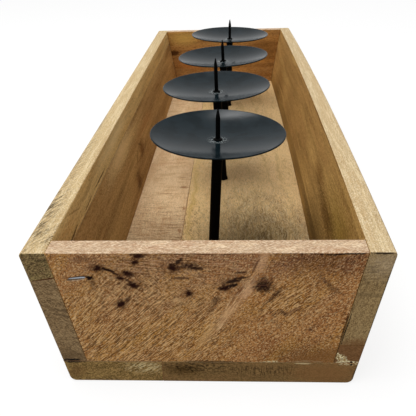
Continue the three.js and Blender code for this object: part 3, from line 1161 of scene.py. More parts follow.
WIDE_BASE_END = Wood(
    "wide_base_end",
    "#957248",
    Plane.ACROSS,
    slope=4,
    layers=end_grain("#352a17", "#9a7b4c", 0.9)
    + (
        Layer("#2a2010", (2.4, 1.4, 20), (0.47, 0.55), 0.75, within=region((-8, 12), (36, 7))),
        Layer("#3a2a16", (4.5, 0.8, 20), (0.5, 0.58), 0.7, 90, within=region((34, 10), (44, 7))),
        torn("#f0e0b2", (1.8, 0.8), (0.48, 0.54), region((79, 15.6), (6, 1.1), edge=0.3)),
    ),
    marks=(
        Mark("#90663c", (66, 8), (28, 12), share=0.6, edge=0.7),
        Mark("#2a2016", (84.2, 7), (12, 1.4), slope=81, share=0.7),
        shade("#aca590", (-17, 10), (17, 8), slope=0),
        Mark("#20170d", (2, 15.9), (26, 0.8), share=0.6),
        Mark("#e6d2a2", (54, 16.0), (6.0, 0.5), share=0.85),
        Mark("#160e08", (81.3, 15.4), (0.9, 0.9), share=1.0, edge=0.4),
    ),
    seed=12,
)

LEFT_INSIDE = Wood(
    "left_inside",
    "#b08652",
    Plane.ALONG,
    sway=(5, 60),
    stains_and_painted_light=(
        Mark("#c07c42", (0, 52), (70, 16), share=0.45, edge=1.0),
        # Painted shade and light: the wall darker towards the floor, and lighter towards its top.
        Mark("#6c4a24", (-180, 24), (130, 16), share=0.5, edge=1.0),
        Mark("#e6c080", (-90, 68), (130, 15), share=0.95, edge=1.0),
    ),
    layers=long_grain("#6a4a26", "#d2aa6c", 0.8),
    marks=(
        # Painted light: the upper part of the wall lighter.
        Mark("#ecca92", (-116, 72), (84, 14), share=0.65, edge=1.0),
        shade("#a08c78", (-82, 27), (18, 12)),
        shade("#b49c84", (-40, 44), (22, 12)),
        Mark("#4e3216", (-66, 44), (14, 1.4), slope=30, share=0.6),
        Mark("#4e3216", (-46, 50), (9, 1.2), slope=-24, share=0.6),
        Mark("#4e3216", (-20, 40), (10, 1.2), slope=36, share=0.5),
    ),
    seed=13,
)

LEFT_STRIP_INSIDE = replace(
    LEFT_INSIDE,
    name="left_strip_inside",
    ground="#daaf6c",
    stains_and_painted_light=(Mark("#b88045", (-262, 86), (44, 8), share=0.5, edge=1.0),),
    layers=long_grain("#7d5c32", "#e4c486", 0.7),
    marks=(
        Mark("#3b2510", (-264, 78.4), (16, 1.1), slope=5, share=0.85),
        Mark("#3b2510", (-224, 79.6), (13, 0.8), slope=3, share=0.7),
        Mark("#3b2510", (-186, 80.4), (22, 0.9), slope=2, share=0.75),
        Mark("#6a4a24", (-250, 88), (16, 0.8), slope=-16, share=0.5),
        # Painted light: the top of the wall lighter, as on the board below.
        Mark("#ecd29c", (-124, 88), (90, 9), share=0.55, edge=1.0),
    ),
    seed=14,
)

RIGHT_INSIDE = replace(
    LEFT_INSIDE,
    name="right_inside",
    ground="#b68c53",
    stains_and_painted_light=(),
    layers=long_grain("#745026", "#d8b06a", 0.8),
    marks=(
        # Painted shade: the wall darker towards the front panel and towards the floor.
        shade("#babc98", (-262, 66), (120, 34)),
        shade("#aaa8a0", (-236, 32), (150, 32)),
        shade("#bcb0a4", (-204, 57), (52, 14)),
        shade("#c0b4a8", (-150, 64), (38, 11)),
        # Painted shade: a dark line along the top arris.
        Mark("#4a3418", (-120, 92.8), (180, 0.8), share=0.6),
    ),
    seed=15,
)

RIGHT_STRIP_INSIDE = replace(
    LEFT_INSIDE,
    name="right_strip_inside",
    ground="#9a7743",
    stains_and_painted_light=(),
    layers=long_grain("#664a24", "#b89254", 0.6),
    # Painted shade: darker towards the floor and the front panel, as on the board above.
    marks=(shade("#aaa8a0", (-220, 26), (150, 30)),),
    seed=16,
)

NARROW_FLOOR = Wood(
    "narrow_floor",
    "#e2c196",
    Plane.LEVEL,
    slope=90,
    layers=(
        Layer("#c79d70", (90, 14, 8), (0.42, 0.62), 0.5),
        Layer("#e8cb9e", (40, 3, 4), (0.5, 0.64), 0.4),
        Layer("#b98d60", (14, 5, 4), (0.48, 0.66), 0.45, -90),
        *strokes("#9a7650", "#eed6ae", 5, 0.8, 0.3),
        Layer(
            "#83603a", (17, 1.6, 2), (0.53, 0.62), 0.75, -90, relief=-0.05,
            within=region((-52, -190), (60, 130)),
        ),
    ),
    marks=(
        # Painted shade: the floor darker towards the front panel.
        shade("#bcb8b4", (-52, -220), (70, 150)),
        Mark("#8f5f3a", (-36, -75), (7, 3.4), share=0.75, edge=0.8),
        Mark("#a57a50", (-52, -88), (11, 1.7), share=0.6),
        Mark("#7a5a34", (-30.2, -186), (1.0, 34), share=0.5),
        Mark("#7a5a34", (-30.2, -92), (0.9, 26), share=0.5),
        Mark("#8a5c38", (-31.6, -204), (1.6, 6), share=0.7, edge=0.9),
        Mark("#8a5c38", (-32.4, -156), (2.4, 7), slope=8, share=0.7, edge=0.9),
        Mark("#8a5c38", (-31.8, -118), (1.8, 6), slope=-6, share=0.6, edge=0.9),
        Mark("#c08a62", (-64, -20), (26, 7), slope=20, share=0.35, edge=1.0),
        Mark("#9a6c46", (-40, -52), (10, 2.2), slope=-12, share=0.5, edge=0.9),
    ),
    seed=17,
)

CURLY = region((34, -180), (60, 150), edge=0.7)
WIDE_FLOOR = Wood(
    "wide_floor",
    "#deba84",
    Plane.LEVEL,
    slope=90,
    sway=(14, 22),
    stains_and_painted_light=(
        # Painted shade: darker along the foot of the right wall, in the corner.
        Mark("#b8926a", (72, -170), (12, 130), share=0.5, edge=1.0),
        Mark("#ecd0a2", (30, 60), (70, 200), share=0.8, edge=1.0),
    ),
    layers=(
        Layer("#e2c188", (90, 18, 8), (0.42, 0.62), 0.5),
        Layer(
            "#6a5034", (38, 9, 1), (0.3, 1.0), 0.46, within=region((37, -170), (60, 150)),
            figure=Figure.RINGS, pith=(37, -216),
        ),
        Layer("#a5844f", (60, 5, 5), (0.5, 0.66), 0.35),
        *strokes("#806238", "#ecd5a6", 5, 0.7, 0.32),
        *strokes("#8a7050", "#f4dfb6", 12, 0.9, 0.6, within=CURLY),
        *strokes("#7a6238", "#f4dfae", 6, 0.8, 0.4, within=CURLY),
        Layer("#6b5730", (8, 1.2, 1), (0.5, 0.6), 0.55, 14, within=region((-20, -150), (12, 90))),
        Layer("#6e5030", (9, 1.2, 2), (0.46, 0.56), 0.7, within=region((-28.6, -180), (2.4, 110))),
    ),
    marks=(
        # Painted shade: the floor darker towards the front panel.
        shade("#b8b8ae", (36, -220), (80, 150)),
        Mark("#c2a150", (-25, -90), (4.5, 150), share=0.4, edge=1.0),
    ),
    seed=18,
)

UNDERSIDE = replace(
    WIDE_FLOOR,
    name="underside",
    ground="#9a7b50",
    stains_and_painted_light=(),
    layers=WIDE_FLOOR.layers[2:5],
    marks=(),
    seed=19,
)

BLACK_COAT = Paint("black_coat", "#0f191d", "#172227", 0.15, 0.035, 0.0012)
BLACK_BAR = Paint("black_bar", "#030303", "#060606", 0.5, 0.03, 0.004)
BRAD_WIRE = Steel("brad_wire", "#9a9fa6", "#4c4f54", 0.3)
SCREW_ZINC = Steel("screw_zinc", "#a9a8a2", "#6f6a62", 0.42)
GLUE = Wood(
    "glue",
    "#8c603c",
    Plane.LEVEL,
    layers=(Layer("#4c2f1c", (9, 9, 6), (0.45, 0.6), 0.7),),
    seed=20,
)
LEFT_OUTSIDE = replace(LEFT_INSIDE, name="left_outside", marks=(), seed=21)
LEFT_STRIP_OUTSIDE = replace(LEFT_STRIP_INSIDE, name="left_strip_outside", marks=(), seed=22)
RIGHT_OUTSIDE = replace(RIGHT_INSIDE, name="right_outside", marks=(), seed=23)
RIGHT_STRIP_OUTSIDE = replace(RIGHT_STRIP_INSIDE, name="right_strip_outside", seed=24)


# Sub-assemblies

def between(
    left: Callable[[float], float],
    right: Callable[[float], float],
    low: float,
    high: float,
) -> list[Point]:
    """Corners of a board between two levels and two faces, each a place at a height."""
    return [(left(low), low), (right(low), low), (right(high), high), (left(high), high)]


@dataclass(frozen=True)
class TroughForm:
    """Outer form of the trough, which all of its boards share.

    Attributes:
        length: Length of the boards.
        height: Height of the top.
        base: Thickness of the base.
        top_width: Width over the sides at the top.
        foot_width: Width of the base underneath.
        side: Thickness of the sides, square to their face.
        panel: Thickness of the end panels.
        bow: How far the right side has bowed outwards.
        glue: Thickness of a glue line.
        narrow: Width of the narrow board of the base.
        left_strip: Width of the top strip of the left side, down its face.
        right_strip: Height of the low strip of the right side.
    """

    length: float
    height: float
    base: float
    top_width: float = 200 * MM
    foot_width: float = 170.4 * MM
    side: float = 14.3 * MM
    panel: float = 12.4 * MM
    bow: float = 3.5 * MM
    glue: float = 0.3 * MM
    narrow: float = 57.2 * MM
    left_strip: float = 18.1 * MM
    right_strip: float = 14.1 * MM

    @classmethod
    def of_frame(cls) -> "TroughForm":
        """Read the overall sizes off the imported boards."""
        low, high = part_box("base_wide_board")
        return cls(high.y - low.y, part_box("front_panel")[1].z, high.z)

    @property
    def floor(self) -> float:
        """Height at which the boards on the base start, over their glue."""
        return self.base + self.glue

    @property
    def lean(self) -> float:
        """Angle of the sides from upright."""
        return math.atan2((self.top_width - self.foot_width) / 2, self.height)

    @property
    def level_side(self) -> float:
        """Thickness of a side, measured level."""
        return self.side / math.cos(self.lean)

    @property
    def seam_rise(self) -> float:
        """How far the square seam of the left side rises from its outer to its inner face."""
        return self.level_side * math.tan(self.lean)

    @property
    def left_seam(self) -> float:
        """Height of that seam at the outer face."""
        return self.height - self.left_strip * math.cos(self.lean) - self.seam_rise / 2

    @property
    def right_seam(self) -> float:
        """Height of the level seam of the right side."""
        return self.base + self.right_strip

    @property
    def base_seam(self) -> float:
        """Place of the joint of the base across the tray."""
        return self.narrow - self.foot_width / 2 - self.bow / 2

    def outer(self, hand: int, z: float) -> float:
        """Place of a side's outer face at a height, on the left (-1) or right (1)."""
        return hand * (self.foot_width / 2 + z * math.tan(self.lean)) - self.bow / 2

    def inner(self, hand: int, z: float) -> float:
        """Place of a side's inner face at a height."""
        return self.outer(hand, z) - hand * self.level_side

    def bow_at(self, y: float) -> float:
        """How far the right side stands out at a place along the tray."""
        return self.bow * (1 - (2 * y / self.length) ** 2)

    def side_corners(self, hand: int, lower: Point, upper: Point) -> list[Point]:
        """Long edges of a side board between two seams.

        Args:
            hand: Left (-1) or right (1).
            lower: Height of the lower seam at the outer and the inner face.
            upper: Height of the upper seam at the outer and the inner face.

        Returns:
            The corners, as a block takes them.
        """
        outer = [(self.outer(hand, z), z) for z in (lower[0], upper[0])]
        inner = [(self.inner(hand, z), z) for z in (lower[1], upper[1])]
        if hand < 0:
            return [outer[0], inner[0], inner[1], outer[1]]
        return [inner[0], outer[0], outer[1], inner[1]]


@dataclass(frozen=True)
class Board:
    """Plan of one board.

    Attributes:
        node: Its node in the frame.
        name: Its own name.
        slot: Name of its material slot; it is not used.
        corners: Its long edges in X and Z, as for a block.
        outside: Its sides that are outsides of the trough.
        faces: The finish of each of its sides.
        bowed: Whether it follows the bow on its right.
        ends: Its ends in Y, or None for the whole length.
    """

    node: str
    name: str
    slot: str
    corners: list[Point]
    outside: tuple[Side, ...]
    faces: Mapping[Side, Wood]
    bowed: bool = False
    ends: Point | None = None


@dataclass
class Joinery:
    """How boards are sawn, eased and dressed.

    Attributes:
        form: The trough's form.
        top_round: Rounding of the upper outer arrises.
        foot_round: Rounding of the lower ones.
        end_round: Rounding of the outer arrises at the ends.
        fine_round: Easing of every other edge.
        bow_step: Length of the steps in which a bowed board is bent.
        outward: How squarely a face looks outwards to be an outside, from 0 to 1.
        shade: Angle over which edges stay sharp, in degrees.
    """

    form: TroughForm
    top_round: float = 2.6 * MM
    foot_round: float = 3.4 * MM
    end_round: float = 0.8 * MM
    fine_round: float = 0.2 * MM
    bow_step: float = 25 * MM
    outward: float = 0.6
    shade: float = 35.0

    def bend(self, piece: Piece, ends: Point) -> None:
        """Bend the right-hand edges of a piece to the bow, in even steps.

        Args:
            piece: The piece.
            ends: Places of its ends in Y.
        """
        steps = max(1, round((ends[1] - ends[0]) / self.bow_step))
        stations = [ends[0] + (ends[1] - ends[0]) * i / steps for i in range(steps + 1)]
        with editing(piece):
            for y in stations[1:-1]:
                bpy.ops.mesh.select_all(action="SELECT")
                bpy.ops.mesh.bisect(plane_co=(0, y, 0), plane_no=(0, 1, 0))
            for y in stations:
                pick(piece, Pick.VERT, lambda v: abs(v.co.y - y) < MM / 10 and v.co.x > 0)
                bpy.ops.transform.translate(value=(self.form.bow_at(y), 0, 0))

    def ease(self, piece: Piece, outside: Sequence[Side]) -> None:
        """Round the arrises of a board: most where it is the trough's outside.

        Args:
            piece: The board.
            outside: The sides of the board that are outsides of the trough.
        """
        trough_end = self.form.length / 2

        def is_outside(face: bmesh.types.BMFace) -> bool:
            """Whether a face is an outside of the trough."""
            return any(face.normal.dot(side.direction) > self.outward for side in outside)

        def is_sharp(edge: bmesh.types.BMEdge) -> bool:
            """Whether an edge is an arris."""
            return edge.calc_face_angle(0.0) > SHARP

        def runs_along(edge: bmesh.types.BMEdge) -> bool:
            """Whether an edge is a long arris between two outsides."""
            long = abs(edge.verts[0].co.y - edge.verts[1].co.y) > MM
            return long and all(is_outside(face) for face in edge.link_faces) and is_sharp(edge)

        def at_end(edge: bmesh.types.BMEdge) -> bool:
            """Whether an edge is an outer arris at an end of the trough."""
            on_end = all(abs(abs(v.co.y) - trough_end) < MM / 10 for v in edge.verts)
            return on_end and is_sharp(edge) and any(is_outside(face) for face in edge.link_faces)

        long_round = self.top_round if Side.TOP in outside else self.foot_round
        with editing(piece):
            for wanted, offset, steps in ((runs_along, long_round, 5), (at_end, self.end_round, 3)):
                pick(piece, Pick.EDGE, wanted)
                if piece.data.total_edge_sel:
                    bpy.ops.mesh.bevel(offset=offset, segments=steps, affect="EDGES")
        apply_modifier(
            piece,
            "BEVEL",
            width=self.fine_round,
            segments=2,
            limit_method="ANGLE",
            angle_limit=SHARP,
            use_clamp_overlap=False,
        )

    def saw(self, plan: Board) -> Piece:
        """Saw, bend and ease one board.

        Args:
            plan: Its plan.

        Returns:
            The board.
        """
        half = self.form.length / 2
        ends = plan.ends or (-half, half)
        piece = block(plan.name, plan.corners, ends)
        if plan.bowed:
            self.bend(piece, ends)
        self.ease(piece, plan.outside)
        return piece

    def dress(self, piece: Piece, faces: Mapping[Side, bpy.types.Material]) -> None:
        """Give each side of a board its finish.

        Args:
            piece: The board.
            faces: The finish of each of its sides.
        """

        def faced(face: bmesh.types.BMFace) -> Side:
            """The side that a face looks to most."""
            return max(faces, key=lambda side: face.normal.dot(side.direction))

        for finish in faces.values():
            piece.data.materials.append(finish)
        with editing(piece):
            for number, side in enumerate(faces):
                pick(piece, Pick.FACE, lambda face: faced(face) is side)
                piece.active_material_index = number
                bpy.ops.object.material_slot_assign()
        smooth(piece, self.shade)


@dataclass
class Brads:
    """Brads that pin the boards, and the holes that they are driven in.

    Attributes:
        form: The trough's form.
        length: Length of a brad.
        shank: Width of its shank.
        head: Width of its head.
        head_height: Height of its head.
        point: Length of its point.
        chamfer: Chamfer of its head, and half the width of its blunted point.
        slope: Height of the slopes at the foot of its head and at its point.
        sink: How deep its head lies under the surface.
        clearance: Room round it.
        corner_drop: How far the first brad of a corner lies below the top.
        corner_pitch: Distance between the brads of a corner.
        corner_count: Number of brads in a corner.
        edge_inset: How far the first brad under a side lies from the end.
        edge_count: Number of brads under a side.
        panel_spacing: Distance between the two brads under an end panel.
        stray_start: Depth of the stray brad's head behind the front face.
        stray_tip: Depth of its point behind the front face.
        split: Length, height, depth and setback of the split that it tore.
        tear: Unevenness of the split.
    """

    form: TroughForm
    length: float = 32 * MM
    shank: float = 1.6 * MM
    head: float = 2.8 * MM
    head_height: float = 0.8 * MM
    point: float = 2.4 * MM
    chamfer: float = 0.2 * MM
    slope: float = 0.1 * MM
    sink: float = 1 * MM
    clearance: float = 0.12 * MM
    corner_drop: float = 20.9 * MM
    corner_pitch: float = 24.5 * MM
    corner_count: int = 3
    edge_inset: float = 50 * MM
    edge_count: int = 4
    panel_spacing: float = 80 * MM
    stray_start: float = 3.6 * MM
    stray_tip: float = 0.9 * MM
    split: tuple[float, float, float, float] = (11.4 * MM, 2.6 * MM, 2.4 * MM, 6.6 * MM)
    tear: float = 0.1 * MM

    def pattern(self, name: str, clearance: float, lead: float, sides: int) -> Piece:
        """One brad with its head at the origin and its point up, or its hole.

        Args:
            name: Name of the pattern.
            clearance: Room round the brad, or 0 for the brad.
            lead: How far the hole starts before the head, or 0 for the brad.
            sides: Steps round its axis.

        Returns:
            The pattern.
        """
        head = self.head / 2 + clearance
        shank = self.shank / 2 + clearance
        profile = [
            (0, -lead),
            (head - self.chamfer, -lead),
            (head, self.chamfer - lead),
            (head, self.head_height + clearance),
            (shank, self.head_height + 2 * clearance + self.slope),
            (shank, self.length - self.point),
            (self.chamfer, self.length + clearance - self.slope),
            (0, self.length + clearance),
        ]
        return turn(name, profile, sides)

    def driven(self, entry: Vector, direction: Vector) -> Matrix:
        """Placement of a driven brad.

        Args:
            entry: Where it goes in.
            direction: Where it points.

        Returns:
            The placement of its head, sunk under the surface.
        """
        place = entry + direction * self.sink
        if place.x > 0:
            place.x += self.form.bow_at(place.y)
        return Matrix.Translation(place) @ direction.to_track_quat("Z", "X").to_matrix().to_4x4()

    def corner(self, label: str, hand: int, end: int) -> dict[str, Matrix]:
        """Brads through one side into the edge of an end panel, square to the side.

        Args:
            label: Start of their names.
            hand: Left (-1) or right (1).
            end: Front (-1) or back (1).

        Returns:
            Their placements by name.
        """
        form = self.form
        y = end * (form.length - form.panel) / 2
        direction = Vector((-hand * math.cos(form.lean), 0, math.sin(form.lean)))
        first = form.height - self.corner_drop
        levels = [first - i * self.corner_pitch for i in range(self.corner_count)]
        return {
            f"{label}_brad_{i}": self.driven(Vector((form.outer(hand, z), y, z)), direction)
            for i, z in enumerate(levels, 1)
        }

    def stray(self) -> Matrix:
        """Placement of the brad that wandered out of the front panel.

        Returns:
            The placement of its head.
        """
        form = self.form
        z = form.height - self.corner_drop
        drift = (self.stray_start - self.stray_tip) / self.length
        direction = Vector((math.cos(form.lean), -drift, math.sin(form.lean))).normalized()
        entry = Vector((form.outer(-1, z), self.stray_start - form.length / 2, z))
        return self.driven(entry, direction)

    def edge(self, label: str, hand: int) -> dict[str, Matrix]:
        """Brads from below into the foot of a side.

        Args:
            label: Start of their names.
            hand: Left (-1) or right (1).

        Returns:
            Their placements by name.
        """
        form = self.form
        grip = self.sink + self.length - form.base
        x = form.outer(hand, form.base + grip / 2) - hand * form.level_side / 2
        run = form.length - 2 * self.edge_inset
        places = [-run / 2 + i * run / (self.edge_count - 1) for i in range(self.edge_count)]
        return {
            f"{label}_brad_{i}": self.driven(Vector((x, y, 0)), Vector((0, 0, 1)))
            for i, y in enumerate(places, 1)
        }

    def panel_foot(self, label: str, end: int) -> dict[str, Matrix]:
        """Brads from below into an end panel.

        Args:
            label: Start of their names.
            end: Front (-1) or back (1).

        Returns:
            Their placements by name.
        """
        y = end * (self.form.length - self.form.panel) / 2
        middle = -self.form.bow / 2
        places = [middle + hand * self.panel_spacing / 2 for hand in (-1, 1)]
        return {
            f"{label}_brad_{i}": Matrix.Translation((x, y, self.sink))
            for i, x in enumerate(places, 1)
        }

    def placements(self) -> dict[str, Matrix]:
        """Place every brad.

        Returns:
            The placements by the names of the brads' nodes.
        """
        placed = {}
        for end, end_name in ((-1, "front"), (1, "back")):
            for hand, hand_name in ((-1, "left"), (1, "right")):
                placed |= self.corner(f"{end_name}_{hand_name}", hand, end)
        placed |= self.edge("left_foot", -1) | self.edge("right_foot", 1)
        placed |= self.panel_foot("front_foot", -1) | self.panel_foot("back_foot", 1)
        placed["front_left_brad_1"] = self.stray()
        return placed

    def split_cutter(self) -> Piece:
        """The split along the stray brad's point: a thin lens with torn edges.

        Returns:
            The cutter, in its place.
        """
        length, height, depth, setback = self.split
        placement = self.stray()
        middle = placement @ Vector((0, 0, self.length - setback))
        middle.y = -self.form.length / 2
        take()
        bpy.ops.mesh.primitive_uv_sphere_add(segments=20, ring_count=12, radius=1)
        lens = bpy.context.object
        rotation = placement.to_3x3().to_4x4()
        shape = Matrix.Diagonal((height / 2, depth, length / 2, 1))
        lens.matrix_world = Matrix.Translation(middle) @ rotation @ shape
        settle(lens, "split")
        with editing(lens):
            bpy.ops.mesh.select_all(action="SELECT")
            bpy.ops.transform.vertex_random(offset=self.tear, uniform=0.0, normal=0.0, seed=4)
        return lens

    def build(self, wire: bpy.types.Material) -> list[Piece]:
        """Model one brad and copy it to every place.

        Args:
            wire: The brads' finish.

        Returns:
            The brads.
        """
        pattern = self.pattern("brad", 0.0, 0.0, 24)
        smooth(pattern, 40)
        pattern.data.materials.append(wire)
        made = []
        for node, placement in self.placements().items():
            piece = copy_to(pattern, f"{node}_wire", placement)
            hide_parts(node)
            made.append(piece)
        discard(pattern)
        return made


@dataclass
class Holder:
    """One pricket holder: its post, dish, spike and screw.

    Attributes:
        form: The trough's form.
        number: Its number from the front.
        along: How far it stands behind its place in the row.
        foot: How far its foot stands to the right.
        lean: Lean of the post to the right, in degrees.
        head_lean: Lean of the dish and spike, in degrees.
        reach: Height of the spike's tip over the floor of the dish.
        pitch: Distance between two holders.
        count: Number of holders in the row.
        post: Width of the post.
        post_height: Its height over the trough's floor.
        foot_width: Width of its swelled foot.
        foot_swell: Height of the swelling.
        weld: Width of the weld under the dish.
        weld_height: Height of that weld.
        dish: Width of the dish.
        dish_depth: Its depth.
        sheet: Thickness of its sheet.
        ripple: Height, reach and pitch of the ripples that the weld's heat left in it.
        spike: Width of the spike.
        spike_point: Length of its point.
        spike_tip: Width of its blunted tip.
        bead: Width of the weld bead round the spike.
        bead_height: Height of that bead.
        bead_lift: How far it starts over the floor of the dish.
        unevenness: Unevenness of the post's weld and of the spike's bead.
        seat: Room at the seats and round the screw.
        screw: Width of the screw.
        screw_length: Its length.
        screw_head: Width of its head.
        screw_head_height: Height of its head.
        screw_rim: Height of the straight rim of its head.
        screw_sink: How deep its head lies under the underside.
        lead: How far its hole starts before its head.
        recess: Span, width and depth of the cross in its head.
    """

    form: TroughForm
    number: int
    along: float
    foot: float
    lean: float
    head_lean: float
    reach: float
    pitch: float = 117.5 * MM
    count: int = 4
    post: float = 8 * MM
    post_height: float = 87.2 * MM
    foot_width: float = 9.4 * MM
    foot_swell: float = 2.5 * MM
    weld: float = 10.4 * MM
    weld_height: float = 1.8 * MM
    dish: float = 98 * MM
    dish_depth: float = 7 * MM
    sheet: float = 1.2 * MM
    ripple: Place = (0.3 * MM, 8 * MM, 2.6 * MM)
    spike: float = 3.4 * MM
    spike_point: float = 7.5 * MM
    spike_tip: float = 0.7 * MM
    bead: float = 7 * MM
    bead_height: float = 1.5 * MM
    bead_lift: float = 0.25 * MM
    unevenness: Point = (0.12 * MM, 0.15 * MM)
    seat: float = 0.1 * MM
    screw: float = 4 * MM
    screw_length: float = 25 * MM
    screw_head: float = 7.8 * MM
    screw_head_height: float = 2.3 * MM
    screw_rim: float = 0.3 * MM
    screw_sink: float = 0.8 * MM
    lead: float = 3 * MM
    recess: Place = (4.2 * MM, 0.9 * MM, 1.5 * MM)

    @property
    def placement(self) -> Matrix:
        """Where the holder stands.

        Returns:
            The place of its foot, turned about the foot's middle.
        """
        row = (self.number - (self.count + 1) / 2) * self.pitch + self.along
        stand = Matrix.Translation((self.foot - self.form.bow / 2, row, self.form.base))
        return stand @ Matrix.Rotation(math.radians(self.lean), 4, "Y")

    @property
    def head_placement(self) -> Matrix:
        """Where the dish and spike sit.

        Returns:
            The place on the post's head, with the lean of the dish.
        """
        lift = Matrix.Translation((0, 0, self.post_height + self.seat))
        tilt = Matrix.Rotation(math.radians(self.head_lean - self.lean), 4, "Y")
        return self.placement @ lift @ tilt

    @property
    def weld_place(self) -> Vector:
        """Where the spike is welded into the dish."""
        return self.head_placement @ Vector((0, 0, self.sheet))

    @property
    def screw_foot(self) -> float:
        """Height of the screw's head over the trough's floor, which is below 0."""
        return self.screw_sink - self.form.base

    def roughen(
        self,
        piece: Piece,
        wanted: Callable[..., bool],
        by: float,
        seed: int,
    ) -> None:
        """Make a weld uneven.

        Args:
            piece: The piece that bears the weld.
            wanted: Test of a vertex of the weld.
            by: How uneven it is.
            seed: Seed of the unevenness.
        """
        with editing(piece):
            pick(piece, Pick.VERT, wanted)
            bpy.ops.transform.vertex_random(offset=by, uniform=0.0, normal=0.0, seed=seed)

    def post_form(self) -> Piece:
        """Round bar with a swelled foot and a fillet of weld at its head, cut level at the foot.

        Returns:
            The post, in its place and bored for its screw.
        """
        radius, foot, weld = self.post / 2, self.foot_width / 2, self.weld / 2
        top = self.post_height
        fillet = weld - radius
        below = 2 * MM
        angles = [math.radians(15 * i) for i in range(2, 7)]
        profile = [
            (0, -below),
            (foot, -below),
            (foot, 0.3 * MM),
            (foot - 0.15 * MM, 0.9 * MM),
            (radius + 0.25 * MM, self.foot_swell * 0.75),
            (radius, self.foot_swell),
            (radius, top * 0.35),
            (radius, top * 0.7),
            (radius, top - self.weld_height - fillet),
            *(
                (weld - fillet * math.cos(a), top - 0.5 * MM - fillet * (1 - math.sin(a)) * 1.6)
                for a in angles
            ),
            (weld, top - 0.25 * MM),
            (weld - 0.3 * MM, top),
            (0, top),
        ]
        piece = turn(f"post_{self.number}", profile, 48)
        self.roughen(
            piece,
            lambda v: v.co.z > top - self.weld_height and v.co.xy.length > radius,
            self.unevenness[0],
            self.number,
        )
        piece.matrix_world = self.placement
        settle(piece, f"holder_{self.number}_post_bar")
        with editing(piece):
            bpy.ops.mesh.select_all(action="SELECT")
            bpy.ops.mesh.bisect(
                plane_co=(0, 0, self.form.base + self.seat),
                plane_no=(0, 0, 1),
                use_fill=True,
                clear_inner=True,
            )
        pilot = self.pilot()
        cut(piece, pilot)
        discard(pilot)
        smooth(piece, 40)
        return piece

    def ripple_at(self, radius: float) -> float:
        """Height of the ripples in the dish.

        Args:
            radius: Distance from the spike's middle.

        Returns:
            How far they rise over the plain dish there.
        """
        height, reach, pitch = self.ripple
        swell = height * math.exp(-((radius / reach) ** 2))
        return swell * (1 + 0.5 * math.sin(math.tau * radius / pitch))

    def dish_form(self) -> Piece:
        """A pressed dish, with faint ripples round the spike.

        Returns:
            The dish, with its underside at the origin.
        """
        rim = (self.dish - self.sheet) / 2
        inner = (rim * rim + self.dish_depth**2) / (2 * self.dish_depth)
        middle = inner + self.sheet
        last = math.degrees(math.asin(rim / (inner + self.sheet / 2)))
        hole = self.spike / 2 + self.seat

        def shell(radius: float) -> list[Point]:
            """One face of the sheet.

            Args:
                radius: Radius of its curve.

            Returns:
                Its points, from the hole to the rim.
            """
            first = math.degrees(math.asin(hole / radius))
            points = arc((0, middle), radius, first - 90, last - 90, 60)
            return [(r, z + self.ripple_at(r)) for r, z in points]

        edge_middle = arc((0, middle), inner + self.sheet / 2, last - 90, last - 90, 1)[0]
        edge = arc(edge_middle, self.sheet / 2, last - 90, last + 90, 6)[1:-1]
        under, over = shell(middle), shell(inner)
        piece = turn("dish", [*under, *edge, *reversed(over), under[0]], 120)
        smooth(piece, 50)
        return piece

    def spike_form(self) -> Piece:
        """A pointed pin that stands in a bead of weld.

        Returns:
            The spike, with the dish's underside at the origin.
        """
        shank, bead, tip = self.spike / 2, self.bead / 2, self.spike_tip / 2
        floor = self.sheet + self.bead_lift
        top = self.sheet + self.reach
        angles = [math.radians(15 * i) for i in range(7)]
        profile = [
            (0, -self.sheet),
            (shank, -self.sheet),
            (shank, floor),
            *(
                (shank + (bead - shank) * math.cos(a), floor + self.bead_height * math.sin(a))
                for a in angles
            ),
            (shank, top - self.spike_point),
            (shank * 0.86, top - self.spike_point * 0.7),
            (tip * 1.25, top - tip),
            (tip * 0.8, top - 0.05 * MM),
            (0, top),
        ]
        piece = turn(f"spike_{self.number}", profile, 32)
        self.roughen(
            piece,
            lambda v: floor < v.co.z < floor + self.bead_height and v.co.xy.length > shank,
            self.unevenness[1],
            10 + self.number,
        )
        smooth(piece, 50)
        return piece

    def screw_profile(self, clearance: float, lead: float) -> list[Point]:
        """Outline of the screw, or of its hole.

        Args:
            clearance: Room round the screw, or 0 for the screw.
            lead: How far the hole starts before the head, or 0 for the screw.

        Returns:
            Radius and height of each point.
        """
        head = self.screw_head / 2 + clearance
        shank = self.screw / 2 + clearance
        foot = self.screw_foot
        return [
            (0, foot - lead),
            (head, foot - lead),
            (head, foot + self.screw_rim),
            (shank, foot + self.screw_head_height),
            (shank, foot + self.screw_length),
            (0, foot + self.screw_length),
        ]

    def pilot(self) -> Piece:
        """The hole for the screw, up through the base and into the post.

        Returns:
            The cutter, in its place.
        """
        hole = turn("pilot", self.screw_profile(self.seat, self.lead), 48)
        hole.matrix_world = self.placement
        return settle(hole, f"pilot_{self.number}")

    def screw_form(self) -> Piece:
        """Countersunk screw with a cross recess.

        Returns:
            The screw, with the trough's floor at the origin.
        """
        piece = turn("screw", self.screw_profile(0.0, 0.0), 48)
        span, width, depth = self.recess
        low, high = self.screw_foot - depth, self.screw_foot + depth
        for wide, deep in ((span, width), (width, span)):
            corners = [(-wide / 2, low), (wide / 2, low), (wide / 4, high), (-wide / 4, high)]
            slot = block("slot", corners, (-deep / 2, deep / 2))
            cut(piece, slot)
            discard(slot)
        smooth(piece, 35)
        return piece

